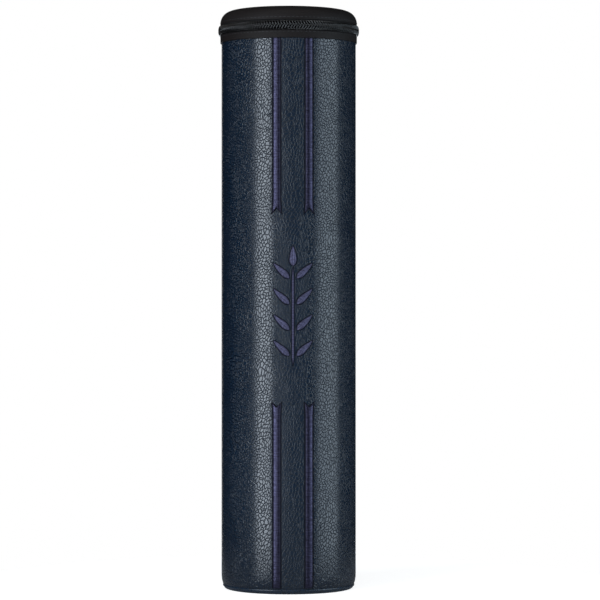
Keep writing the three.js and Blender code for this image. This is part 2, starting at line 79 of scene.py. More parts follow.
class Wire:
    """An output socket of a shader, on which arithmetic adds Math nodes."""

    def __init__(self, nodes: "Nodes", socket: bpy.types.NodeSocket) -> None:
        """Keeps the socket and the nodes that it belongs to."""
        self.nodes = nodes
        self.socket = socket

    def maths(self, operation: str, *terms: "Wire | float") -> "Wire":
        """Returns the result of a Math node on some terms, in order."""
        return self.nodes.node("ShaderNodeMath", {"operation": operation}, dict(enumerate(terms)))

    def __add__(self, other: "Wire | float") -> "Wire":
        """Adds."""
        return self.maths("ADD", self, other)

    def __radd__(self, other: float) -> "Wire":
        """Adds to a number."""
        return self.maths("ADD", other, self)

    def __sub__(self, other: "Wire | float") -> "Wire":
        """Subtracts."""
        return self.maths("SUBTRACT", self, other)

    def __rsub__(self, other: float) -> "Wire":
        """Subtracts from a number."""
        return self.maths("SUBTRACT", other, self)

    def __mul__(self, other: "Wire | float") -> "Wire":
        """Multiplies."""
        return self.maths("MULTIPLY", self, other)

    def __rmul__(self, other: float) -> "Wire":
        """Multiplies a number."""
        return self.maths("MULTIPLY", other, self)

    def sine(self) -> "Wire":
        """Returns the sine."""
        return self.maths("SINE", self)

    def size(self) -> "Wire":
        """Returns the value without its sign."""
        return self.maths("ABSOLUTE", self)

    def most(self, other: "Wire | float") -> "Wire":
        """Returns the larger of two values."""
        return self.maths("MAXIMUM", self, other)


class Nodes:
    """The nodes of a material or a world."""

    def __init__(self, tree: bpy.types.NodeTree) -> None:
        """Keeps the node tree."""
        self.tree = tree

    def feed(self, plug: bpy.types.NodeSocket, value: Setting) -> None:
        """Links a wire to a socket, or sets the socket's value."""
        if isinstance(value, Wire):
            self.tree.links.new(value.socket, plug)
        else:
            plug.default_value = (*value, 1.0) if plug.type == "RGBA" else value

    def node(
        self,
        kind: str,
        settings: dict[str, Setting] | None = None,
        inputs: dict[str | int, Setting] | None = None,
        output: int | str = 0,
    ) -> Wire:
        """Adds a node.

        Args:
            kind: The node's type.
            settings: The node's own settings, which are set first.
            inputs: Values or wires of its sockets, by name or number.
            output: The output to return.

        Returns:
            One output of the node.
        """
        made = self.tree.nodes.new(kind)
        for key, value in (settings or {}).items():
            setattr(made, key, value)
        for key, value in (inputs or {}).items():
            self.feed(made.inputs[key], value)
        return Wire(self, made.outputs[output])

    def vector(self, operation: str, first: Setting, second: Setting) -> Wire:
        """Adds a Vector Math node on two vectors."""
        return self.node("ShaderNodeVectorMath", {"operation": operation}, {0: first, 1: second})

    def axes(self, vector: Wire) -> tuple[Wire, ...]:
        """Splits a vector."""
        split = self.node("ShaderNodeSeparateXYZ", inputs={0: vector}).socket.node
        return tuple(Wire(self, output) for output in split.outputs)

    def ray(self, kind: str) -> Wire:
        """Returns 1 for a kind of ray and 0 for others."""
        return self.node("ShaderNodeLightPath", output=f"Is {kind} Ray")

    def tint(self, share: Wire, first: Setting, second: Setting) -> Wire:
        """Mixes two colours, the second one by a share."""
        inputs = {0: share, 6: first, 7: second}
        return self.node("ShaderNodeMix", {"data_type": "RGBA"}, inputs, 2)


class Coordinates(Enum):
    """Where a pattern's coordinates come from."""

    SOLID = "Object"
    SURFACE = "UV"


class Shader(Nodes):
    """The nodes of one material round its Principled surface."""

    def __init__(self, name: str) -> None:
        """Starts a material of a name."""
        self.material = bpy.data.materials.new(name)
        self.material.use_nodes = True
        super().__init__(self.material.node_tree)
        self.surface = self.tree.nodes["Principled BSDF"]

    def set(self, **inputs: Setting) -> None:
        """Sets the surface's sockets, with _ for a space in their names."""
        for key, value in inputs.items():
            name = key.replace("_", " ").title().replace("Ior", "IOR")
            self.feed(self.surface.inputs[name], value)

    def place(self, source: Coordinates, turn: float = 0.0) -> Wire:
        """Returns a pattern's coordinates in millimetres, turned about Z by some degrees."""
        raw = self.node("ShaderNodeTexCoord", output=source.value)
        inputs = {"Vector": raw, "Rotation": (0, 0, math.radians(turn)), "Scale": (1 / MM,) * 3}
        return self.node("ShaderNodeMapping", {"vector_type": "POINT"}, inputs)

    def noise(
        self, vector: Wire, size: float | Triple, detail: float = 2.0, output: str = "Fac"
    ) -> Wire:
        """Adds soft noise.

        Args:
            vector: Coordinates in millimetres.
            size: Size of its blotches in millimetres, which may differ along the axes.
            detail: Number of finer layers.
            output: Fac or Color.

        Returns:
            The noise, about 0.5 on average.
        """
        if isinstance(size, tuple):
            vector, size = self.vector("DIVIDE", vector, size), 1.0
        inputs = {"Vector": vector, "Scale": 1 / size, "Detail": detail}
        return self.node("ShaderNodeTexNoise", inputs=inputs, output=output)

    def stir(self, vector: Wire, size: float, reach: float) -> Wire:
        """Shifts coordinates by noise of a size, as far as a reach, both in millimetres."""
        drift = self.noise(vector, size, detail=1.0, output="Color")
        middle = self.vector("SUBTRACT", drift, (0.5,) * 3)
        return self.vector("ADD", vector, self.vector("MULTIPLY", middle, (2 * reach,) * 3))

    def cells(self, vector: Wire, size: Triple, flat: bool = False) -> Wire:
        """Returns the distance to the nearest edge of cells of a size, as a share of it."""
        return self.node(
            "ShaderNodeTexVoronoi",
            {"feature": "DISTANCE_TO_EDGE", "voronoi_dimensions": "2D" if flat else "3D"},
            {"Vector": self.vector("DIVIDE", vector, size), "Scale": 1.0},
        )

    def ease(self, value: Wire, low: float, high: float) -> Wire:
        """Returns 0 below low and 1 above high, with a smooth step between."""
        inputs = {"Value": value, "From Min": low, "From Max": high}
        return self.node("ShaderNodeMapRange", {"interpolation_type": "SMOOTHSTEP"}, inputs)

    def ridges(self, way: Wire, width: float) -> Wire:
        """Returns rounded ridges of a width, one after the other along the way."""
        return (way * (math.pi / width)).sine().size()

    def relief(self, height: Wire, depth: float) -> Wire:
        """Returns a normal bent by a height of 0 to 1 that stands for a depth in millimetres."""
        return self.node("ShaderNodeBump", inputs={"Height": height, "Distance": depth * MM})


Look = tuple[Wire, Wire | float, Wire]


@dataclass(frozen=True)
class Finish:
    """One finish of the case.

    Attributes:
        slot: Name of its kind of material, part of the material's name.
        colour: Base colour, linear.
        roughness: Roughness of its shiniest places.
        source: Where its pattern's coordinates come from.
        shades: Darkest and lightest tone, as shares of the colour.
        dulling: How much rougher its dull places are.
        glint: Strength of its mirror reflection.
        depth: Depth of its relief in millimetres.
        weights: Shares of the relief's layers in that depth.
        step: Values between which its sharpest pattern changes.
    """

    slot: str
    colour: Colour
    roughness: float
    source: Coordinates = Coordinates.SOLID
    shades: Point = (0.8, 1.2)
    dulling: float = 0.1
    glint: float = 0.5
    depth: float = 0.1
    weights: tuple[float, ...] = (1.0,)
    step: Point = (0.3, 0.7)

    def shade(self, share: float) -> Colour:
        """Returns the colour times a share."""
        return tuple(channel * share for channel in self.colour)

    def toned(self, shader: Shader, share: Wire) -> Wire:
        """Returns a tone between the darkest at 0 and the lightest at 1."""
        return shader.tint(share, *(self.shade(end) for end in self.shades))

    def piled(self, *layers: Wire) -> Wire:
        """Returns the sum of a relief's layers, each times its weight."""
        first, *rest = (layer * weight for layer, weight in zip(layers, self.weights))
        return sum(rest, first)

    def paint(self, shader: Shader, place: Wire) -> Look:
        """Returns the colour, the dullness and the height of the pattern at a place."""
        raise NotImplementedError

    @cache
    def material(self) -> bpy.types.Material:
        """Returns the finish's material, made once."""
        shader = Shader(f"{type(self).__name__}_{self.slot}".lower())
        colour, dullness, height = self.paint(shader, shader.place(self.source))
        shader.set(
            base_color=colour,
            roughness=self.roughness + self.dulling * dullness,
            specular_ior_level=self.glint,
            normal=shader.relief(height, self.depth),
        )
        return shader.material


@dataclass(frozen=True)
class PebbledLeather(Finish):
    """Leatherette with a rounded pebble grain whose wrinkles drift up the tube.

    Attributes:
        pebble: Size of a pebble along each axis.
        fold: Size of a wrinkle along each axis.
        swell: Size of a soft bump.
        pore: Size of a pore.
        lean: How far the grain leans, in degrees.
        drift: Size of the places where it runs one way, and how far it is shifted there.
        wobbles: The same for the smaller bends of the creases.
        tone: Shares of pebbles and wrinkles in the tone, which paints shade into the creases.
        crest: Values between which the tone changes from the painted crease shade to the lighter
            crests.
        stretched: Distances from the middle of the front between which the grain gets its full
            depth. Inside them the embroidery stretches the leatherette.
        stretched_depth: Share of the depth that is left there.
        stretched_dulling: Dullness that is added there.
    """

    shades: Point = (0.5, 1.2)
    dulling: float = 0.2
    depth: float = 0.19
    weights: tuple[float, ...] = (0.7, 0.3, 0.4, 0.03)
    step: Point = (0.0, 0.18)
    pebble: Triple = (1.5, 2.2, 1.0)
    fold: Triple = (2.4, 6.5, 3.0)
    swell: float = 11.0
    pore: float = 0.4
    lean: float = 24.0
    drift: Point = (24.0, 5.0)
    wobbles: tuple[Point, ...] = ((2.4, 0.6), (0.9, 0.24))
    tone: Point = (0.7, 0.5)
    crest: Point = (0.35, 0.9)
    stretched: Point = (6.5, 11.5)
    stretched_depth: float = 0.75
    stretched_dulling: float = 0.55

    def paint(self, shader: Shader, place: Wire) -> Look:
        """Adds pebbles, fine pores, long wrinkles and painted shade in the creases."""
        flat = self.source is Coordinates.SURFACE
        leaning = shader.place(self.source, self.lean)
        drifting = shader.stir(leaning, *self.drift)
        wobbly = drifting
        for wobble in self.wobbles:
            wobbly = shader.stir(wobbly, *wobble)
        pebbles = shader.ease(shader.cells(wobbly, self.pebble, flat), *self.step)
        folds = shader.noise(drifting, self.fold, detail=1.0)
        bumps, pores = (shader.noise(leaning, size, detail=1.0) for size in (self.swell, self.pore))
        height = self.piled(pebbles, folds, bumps, pores)
        # Painted shade: the colour is darker in the creases between pebbles and in the wrinkles'
        # hollows, and lighter on the crests.
        crest = shader.ease(pebbles * self.tone[0] + folds * self.tone[1], *self.crest)
        dullness = 1 - crest
        if flat:
            across, _, _ = shader.axes(place)
            loose = shader.ease(across.size(), *self.stretched)
            height = height * (self.stretched_depth + (1 - self.stretched_depth) * loose)
            dullness = dullness + self.stretched_dulling * (1 - loose)
        return self.toned(shader, crest), dullness, height


@dataclass(frozen=True)
class SmoothLeather(Finish):
    """Thin matt leatherette with a faint fine grain, soft bumps and rubbed patches."""

    shades: Point = (0.8, 1.25)
    glint: float = 0.2
    depth: float = 0.05
    weights: tuple[float, ...] = (0.5, 0.6)
    step: Point = (0.0, 0.3)
    grain: Triple = (0.55, 0.55, 0.55)
    wobble: Point = (1.0, 0.2)
    swell: float = 6.0
    patch: float = 18.0

    def paint(self, shader: Shader, place: Wire) -> Look:
        """Adds the grain, the bumps and the patches."""
        cells = shader.cells(shader.stir(place, *self.wobble), self.grain)
        height = self.piled(shader.ease(cells, *self.step), shader.noise(place, self.swell))
        rubbed = shader.noise(place, self.patch, detail=3.0)
        return self.toned(shader, rubbed), rubbed, height


@dataclass(frozen=True)
class SatinThread(Finish):
    """Lustrous thread laid side by side, with a sunken rim painted dark as shade, which the rim
    attribute marks.

    Attributes:
        rim: Colour of the rim, a painted shade where the threads sink into the leatherette.
        lustre: How metallic the thread shines.
        strand: Width of a strand.
        waver: Size of the places where the strands waver.
        reach: How far they waver.
        bundle: Size of the places that shine alike.
    """

    source: Coordinates = Coordinates.SURFACE
    shades: Point = (0.6, 1.4)
    dulling: float = 0.4
    glint: float = 0.1
    depth: float = 0.025
    weights: tuple[float, ...] = (0.6, 0.6)
    rim: Colour = (0.004, 0.0045, 0.009)
    lustre: float = 0.8
    strand: float = 0.14
    waver: Triple = (2.4, 0.28, 1.0)
    reach: float = 0.12
    bundle: Triple = (3.6, 0.8, 1.0)

    def paint(self, shader: Shader, place: Wire) -> Look:
        """Adds strands across the piece, uneven lustre and the rim's painted shade."""
        _, along, _ = shader.axes(place)
        wavering = shader.noise(place, self.waver)
        strands = shader.ridges(along + wavering * self.reach, self.strand)
        shine = shader.ease(shader.noise(place, self.bundle), *self.step)
        # The rim attribute is 1 on the rim and less in its shadow: there the thread's colour gives
        # way to painted shade.
        edge = shader.node("ShaderNodeAttribute", {"attribute_name": "ShadedRim"}, output="Fac")
        shader.set(metallic=self.lustre * (1 - edge))
        colour = shader.tint(edge, self.toned(shader, shine), self.rim)
        return colour, edge, self.piled(strands, wavering)


@dataclass(frozen=True)
class Twist(Finish):
    """Sewing thread of two plies that turn round each other, by some radians a millimetre."""

    shades: Point = (0.7, 1.3)
    depth: float = 0.04
    turning: float = 14.0
    fuzz: float = 0.6

    def paint(self, shader: Shader, place: Wire) -> Look:
        """Adds slanted plies, with painted shade in the grooves between them."""
        x, y, z = shader.axes(place)
        plies = ((x + y + z) * self.turning).sine()
        # Painted shade: the colour is darker in the grooves between the plies.
        return self.toned(shader, plies * 0.5 + 0.5), shader.noise(place, self.fuzz), plies


@dataclass(frozen=True)
class Nylon(Finish):
    """Glossy drawn nylon with faint marks and dull patches."""

    dulling: float = 0.08
    depth: float = 0.003
    mark: float = 0.25
    patch: float = 7.0

    def paint(self, shader: Shader, place: Wire) -> Look:
        """Adds the marks and the patches."""
        marks = shader.noise(place, self.mark)
        return self.toned(shader, marks), shader.noise(place, self.patch), marks


@dataclass(frozen=True)
class Woven(Finish):
    """Herringbone tape.

    Attributes:
        yarn: Width of a yarn.
        turn: Height over which the yarns turn back.
        sway: How far they run aside before that.
        fuzz: Size of its loose fibres.
    """

    source: Coordinates = Coordinates.SURFACE
    shades: Point = (0.5, 1.4)
    depth: float = 0.12
    weights: tuple[float, ...] = (0.6, 0.25, 0.2)
    yarn: float = 0.42
    turn: float = 2.4
    sway: float = 1.6
    fuzz: float = 0.3

    def paint(self, shader: Shader, place: Wire) -> Look:
        """Adds slanted yarns that turn about every few millimetres, with painted shade between
        them.
        """
        along, up, _ = shader.axes(place)
        yarns = shader.ridges(along + shader.ridges(up, self.turn) * self.sway, self.yarn)
        picks = shader.ridges(up, self.yarn)
        height = self.piled(yarns, picks, shader.noise(place, self.fuzz, detail=3.0))
        # Painted shade: the colour follows the relief, darker between the yarns.
        return self.toned(shader, height), 0.0, height


@dataclass(frozen=True)
class Velvet(Finish):
    """Short pile that is brushed in patches, which shine more: they are smoother, and their lighter
    colour is painted sheen.

    Attributes:
        pile: Size of its tufts.
        patch: Size of a patch.
        brush: Size of the strokes that bend the patches, and how far they do.
        sheen: Strength and roughness of the sheen.
    """

    shades: Point = (0.75, 1.5)
    dulling: float = -0.1
    depth: float = 0.2
    pile: float = 0.28
    patch: float = 14.0
    brush: Point = (20.0, 6.0)
    sheen: Point = (0.7, 0.4)

    def paint(self, shader: Shader, place: Wire) -> Look:
        """Adds pile, brushed patches whose lighter colour is painted sheen, and the surface's
        sheen.
        """
        pile = shader.noise(place, self.pile, detail=3.0)
        patches = shader.noise(shader.stir(place, *self.brush), self.patch, detail=3.0)
        brushed_sheen = shader.ease(patches, *self.step)
        shader.set(sheen_weight=self.sheen[0], sheen_roughness=self.sheen[1])
        # Painted sheen: the brushed patches are lighter in colour.
        return self.toned(shader, brushed_sheen), brushed_sheen, pile


@dataclass(frozen=True)
class Board(Finish):
    """Grey-brown board with rolled fibres and darker specks."""

    shades: Point = (0.75, 1.2)
    dulling: float = 0.05
    depth: float = 0.08
    step: Point = (0.62, 0.72)
    fibre: Triple = (3.0, 3.0, 0.5)
    speck: float = 0.9
    speck_tone: float = 0.45

    def paint(self, shader: Shader, place: Wire) -> Look:
        """Adds the fibres and the specks."""
        fibres = shader.noise(place, self.fibre, detail=4.0)
        specks = shader.ease(shader.noise(place, self.speck), *self.step)
        colour = shader.tint(specks, self.toned(shader, fibres), self.shade(self.speck_tone))
        return colour, fibres, fibres


@dataclass(frozen=True)
class Foam(Finish):
    """Thin sheet foam with open cells."""

    shades: Point = (0.6, 1.1)
    depth: float = 0.15
    step: Point = (0.05, 0.25)
    cell: Triple = (0.5, 0.5, 0.5)

    def paint(self, shader: Shader, place: Wire) -> Look:
        """Adds open cells, with painted shade inside them."""
        walls = 1 - shader.ease(shader.cells(place, self.cell), *self.step)
        # Painted shade: the colour is darker inside the cells than on their walls.
        return self.toned(shader, walls), 0.0, walls


@dataclass(frozen=True)
class Enamel(Finish):
    """Baked enamel over cast metal, scuffed down to the bare metal in places.

    Attributes:
        bare: Colour of the metal.
        metal: How metallic the enamel and the bare places are.
        coat: Strength of the enamel's clear coat.
        peel: Size of its orange peel.
        scuff: Size of a scuff.
    """

    dulling: float = 0.12
    depth: float = 0.015
    step: Point = (0.66, 0.78)
    bare: Colour = (0.12, 0.12, 0.125)
    metal: Point = (0.1, 0.9)
    coat: float = 0.3
    peel: float = 0.5
    scuff: float = 1.6

    def paint(self, shader: Shader, place: Wire) -> Look:
        """Adds orange peel and small bright scuffs."""
        peel = shader.noise(place, self.peel)
        worn = shader.ease(shader.noise(place, self.scuff, detail=4.0), *self.step)
        low, high = self.metal
        shader.set(metallic=worn * (high - low) + low, coat_weight=self.coat - self.coat * worn)
        return shader.tint(worn, self.colour, self.bare), peel, peel


NAVY = PebbledLeather("navy_leather", (0.0024, 0.0086, 0.0198), 0.23, Coordinates.SURFACE)
NAVY_FLAT = PebbledLeather(
    "navy_leather", (0.0085, 0.0200, 0.0390), 0.26, depth=0.05, pebble=(1.6, 1.6, 1.6)
)
BLACK = SmoothLeather("black_leather", (0.0078, 0.0055, 0.0052), 0.62)
THREAD = SatinThread("thread", (0.036, 0.0345, 0.062), 0.32)
# The same thread as THREAD, painted lighter and less metallic: the lighter colour stands in for
# light that the leaves' satin scatters from the lamps, a painted sheen.
LEAF_THREAD_PAINTED_LIGHTER = SatinThread("thread", (0.070, 0.068, 0.120), 0.40, lustre=0.4)
SEWING = Twist("black_leather", (0.016, 0.0155, 0.017), 0.5)
COIL = Nylon("coil", (0.0085, 0.0077, 0.0077), 0.14)
TAPE = Woven("tape", (0.0055, 0.0055, 0.0058), 0.85)
VELVET = Velvet("velvet", (0.011, 0.017, 0.05), 0.9)
BOARD = Board("board", (0.33, 0.235, 0.14), 0.85)
FOAM = Foam("foam", (0.58, 0.56, 0.50), 0.9)
METAL = Enamel("slider_metal", (0.022, 0.022, 0.024), 0.28)


def outer(node: str) -> float:
    """Returns the outer radius of a round node."""
    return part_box(node)[1].x


def bottom(node: str) -> float:
    """Returns a node's lowest height."""
    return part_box(node)[0].z


def top(node: str) -> float:
    """Returns a node's highest height."""
    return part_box(node)[1].z


def span(node: str) -> tuple[float, float, float]:
    """Returns a round node's outer radius, lowest and highest height."""
    return outer(node), bottom(node), top(node)


def bend(start: Point, control: Point, end: Point, steps: int) -> list[Point]:
    """Returns points of a quadratic curve.

    Args:
        start: Its first point.
        control: The point that it bends towards.
        end: Its last point.
        steps: Number of stretches.

    Returns:
        One more point than steps.
    """
    points = []
    for i in range(steps + 1):
        t = i / steps
        weights = ((1 - t) ** 2, 2 * t * (1 - t), t * t)
        points.append(
            tuple(sum(w * p[k] for w, p in zip(weights, (start, control, end))) for k in (0, 1))
        )
    return points


def climb(radius: float, low: float, high: float, pitch: float) -> list[Point]:
    """Returns points up a straight wall, about a pitch apart, without its last point."""
    count = max(1, round((high - low) / pitch))
    return [(radius, low + (high - low) * i / count) for i in range(count)]


def ring(node: str, thickness: float, pitch: float = math.inf) -> list[Point]:
    """Returns the section of a plain ring that is as wide and high as a node."""
    radius, low, high = span(node)
    inner = radius - thickness
    return [(inner, low), *climb(radius, low, high, pitch), (radius, high), (inner, high)]


def welded(bm: bmesh.types.BMesh) -> bmesh.types.BMesh:
    """Joins the doubled points of a mesh and turns its faces outward."""
    bmesh.ops.remove_doubles(bm, verts=bm.verts, dist=WELD)
    bmesh.ops.recalc_face_normals(bm, faces=bm.faces)
    return bm


def spun(profile: Sequence[Point], steps: int, gap: float = 0.0) -> bmesh.types.BMesh:
    """Turns a profile about the Z axis into a closed mesh.

    Args:
        profile: Points of radius and height. One that starts on the axis ends there too.
        steps: Number of facets round.
        gap: Angle that is left open at the back.

    Returns:
        A new mesh.
    """
    bm = bmesh.new()
    start = BACK + gap / 2
    aim = Vector((math.cos(start), math.sin(start), 0))
    verts = [bm.verts.new(aim * r + Vector((0, 0, z))) for r, z in profile]
    if gap:
        bm.faces.new(verts)
    else:
        for a, b in zip(verts, verts[1:]):
            bm.edges.new((a, b))
        if profile[0][0] > 0:
            bm.edges.new((verts[-1], verts[0]))
    bmesh.ops.spin(
        bm,
        geom=[*bm.verts, *bm.edges, *bm.faces],
        cent=(0, 0, 0),
        axis=(0, 0, 1),
        dvec=(0, 0, 0),
        angle=FULL_TURN - gap,
        steps=steps,
        use_merge=not gap,
    )
    return welded(bm)


def unroll(bm: bmesh.types.BMesh) -> bmesh.types.BMesh:
    """Gives a round mesh a UV map in metres: the way round from the front, and the height."""
    layer = bm.loops.layers.uv.new("Unrolled")
    for face in bm.faces:
        middle = face.calc_center_median()
        heading = math.atan2(middle.x, -middle.y)
        reach = math.hypot(middle.x, middle.y)
        aim = Vector((middle.x, middle.y)).normalized()
        for loop in face.loops:
            x, y, z = loop.vert.co
            turn = math.atan2(aim.x * y - aim.y * x, aim.x * x + aim.y * y)
            loop[layer].uv = ((heading + turn) * reach, z)
    return bm


def slab(columns: int, rows: int) -> bmesh.types.BMesh:
    """Makes a closed slab of two grids, from -1 to 1 across and along and from 0 to 1 in height."""
    bm = bmesh.new()
    bmesh.ops.create_grid(bm, x_segments=columns, y_segments=rows, size=1)
    made = bmesh.ops.extrude_face_region(bm, geom=bm.faces[:], use_keep_orig=True)
    for item in made["geom"]:
        if isinstance(item, bmesh.types.BMVert):
            item.co.z = 1
    return bm


def moulded(
    bm: bmesh.types.BMesh, move: Callable[[Vector], tuple[Vector, Point]]
) -> bmesh.types.BMesh:
    """Moves a slab's points and gives them a UV map.

    Args:
        bm: The slab.
        move: Gives a point's new place and its UV in metres.

    Returns:
        The same mesh.
    """
    layer = bm.loops.layers.uv.new("Unrolled")
    flat = {}
    for vert in bm.verts:
        vert.co, flat[vert] = move(vert.co)
    for face in bm.faces:
        for loop in face.loops:
            loop[layer].uv = flat[loop.vert]
    bmesh.ops.recalc_face_normals(bm, faces=bm.faces)
    return bm


def shown(bm: bmesh.types.BMesh, name: str) -> bpy.types.Object:
    """Turns a mesh into a smooth-shaded object at the origin."""
    for face in bm.faces:
        face.smooth = True
    mesh = bpy.data.meshes.new(name)
    bm.to_mesh(mesh)
    bm.free()
    mesh.set_sharp_from_angle(angle=SHARP_ANGLE)
    obj = bpy.data.objects.new(name, mesh)
    bpy.context.scene.collection.objects.link(obj)
    return obj


def dress(
    bm: bmesh.types.BMesh, name: str, node: str | None, finish: Finish, body: str | None
) -> bpy.types.Object:
    """Makes a piece from its mesh, with its finish and its body.

    Args:
        bm: The mesh, which is used up.
        name: The piece's name.
        node: The node that it stands for, or None where it is added.
        finish: Its finish.
        body: The body that it rides on, or None where it lies between two.

    Returns:
        The piece.
    """
    obj = shown(bm, name)
    obj.data.materials.append(finish.material())
    if body:
        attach(obj, body)
    if node:
        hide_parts(node)
    LOG.info("%s: %d faces", obj.name, len(obj.data.polygons))
    return obj


def round_piece(
    profile: Sequence[Point],
    name: str,
    node: str,
    finish: Finish,
    body: str,
    steps: int = 160,
    gap: float = 0.0,
) -> bpy.types.Object:
    """Makes and dresses a round piece from its profile."""
    return dress(unroll(spun(profile, steps, gap)), name, node, finish, body)


@dataclass
class Cover:
    """The leatherette round the tube, with the shape of its surface.

    Attributes:
        radius: Radius of the straight wall.
        thickness: Thickness of the leatherette.
        foot_height: Height at which the wall starts to turn in.
        foot_inset: How far the foot is turned in.
        foot_waist: Share of the foot's height at which its curve bends.
        seam_gap: Width of the seam down the back.
        groove: How far the stitches pull the leatherette in.
        pillow: How far it swells beside them.
    """

    radius: float = outer("body_cover")
    low: float = bottom("body_cover")
    high: float = top("body_cover")
    thickness: float = 0.9 * MM
    foot_height: float = 9.5 * MM
    foot_inset: float = 1.3 * MM
    foot_waist: float = 0.72
    foot_steps: int = 10
    seam_gap: float = 0.35 * MM
    seam_round: float = 0.25 * MM
    facets: int = 250
    pitch: float = 1.6 * MM
    groove: float = 0.02 * MM
    groove_width: float = 0.35 * MM
    pillow: float = 0.01 * MM
    pillow_offset: float = 1.9 * MM
    pillow_width: float = 0.9 * MM

    def waist(self) -> float:
        """Returns the height that the foot's curve bends towards."""
        return self.foot_height - (self.foot_height - self.low) * self.foot_waist

    def ground(self, height: float) -> float:
        """Returns the surface's radius at a height, which shrinks in the foot."""
        if height >= self.foot_height:
            return self.radius
        a = self.foot_height - 2 * self.waist() + self.low
        b = 2 * (self.waist() - self.foot_height)
        c = self.foot_height - max(height, self.low)
        t = (-b - math.sqrt(b * b - 4 * a * c)) / (2 * a)
        return self.radius - self.foot_inset * t * t

    def wrap(self, across: float, height: float, lift: float) -> Vector:
        """Puts a flat place on the front of the cover.

        Args:
            across: Distance along the surface from the middle of the front, towards +X.
            height: Height above the floor.
            lift: Distance outwards from the surface.

        Returns:
            The point.
        """
        reach = self.ground(height) + lift
        angle = across / self.radius
        return Vector((reach * math.sin(angle), -reach * math.cos(angle), height))

    def settle(self, gap: float) -> float:
        """Returns how far the surface moves outwards at a distance from the stitches."""
        near = max(gap, 0.0)
        pulled = self.groove * math.exp(-((near / self.groove_width) ** 2))
        swollen = self.pillow * math.exp(-(((near - self.pillow_offset) / self.pillow_width) ** 2))
        return swollen - pulled

    def profile(self) -> list[Point]:
        """Returns the section of the leatherette, from the foot up and back down inside."""
        foot = bend(
            (self.radius - self.foot_inset, self.low),
            (self.radius, self.waist()),
            (self.radius, self.foot_height),
            self.foot_steps,
        )
        inner = self.radius - self.thickness
        return [
            *foot[:-1],
            *climb(self.radius, self.foot_height, self.high, self.pitch),
            (self.radius - self.seam_round, self.high),
            (inner, self.high),
            (inner, self.foot_height),
            (foot[0][0] - self.thickness, self.low),
        ]

    def make(self, stitched: Sequence[Triple]) -> None:
        """Makes the cover, drawn in round the embroidery.

        Args:
            stitched: Discs that the embroidery fills: across, height and radius.
        """
        bm = spun(self.profile(), self.facets, self.seam_gap / self.radius)
        tree = KDTree(len(stitched))
        for i, (across, height, _) in enumerate(stitched):
            tree.insert((across, height, 0), i)
        tree.balance()
        middle = self.radius - self.thickness / 2
        for vert in bm.verts:
            x, y, z = vert.co
            reach = math.hypot(x, y)
            if reach < middle or y > 0:
                continue
            _, i, distance = tree.find((math.atan2(x, -y) * self.radius, z, 0))
            moved = self.settle(distance - stitched[i][2])
            vert.co = Vector((x, y, 0)) * (1 + moved / reach) + Vector((0, 0, z))
        dress(unroll(bm), "cover_skin", "body_cover", NAVY, "case")


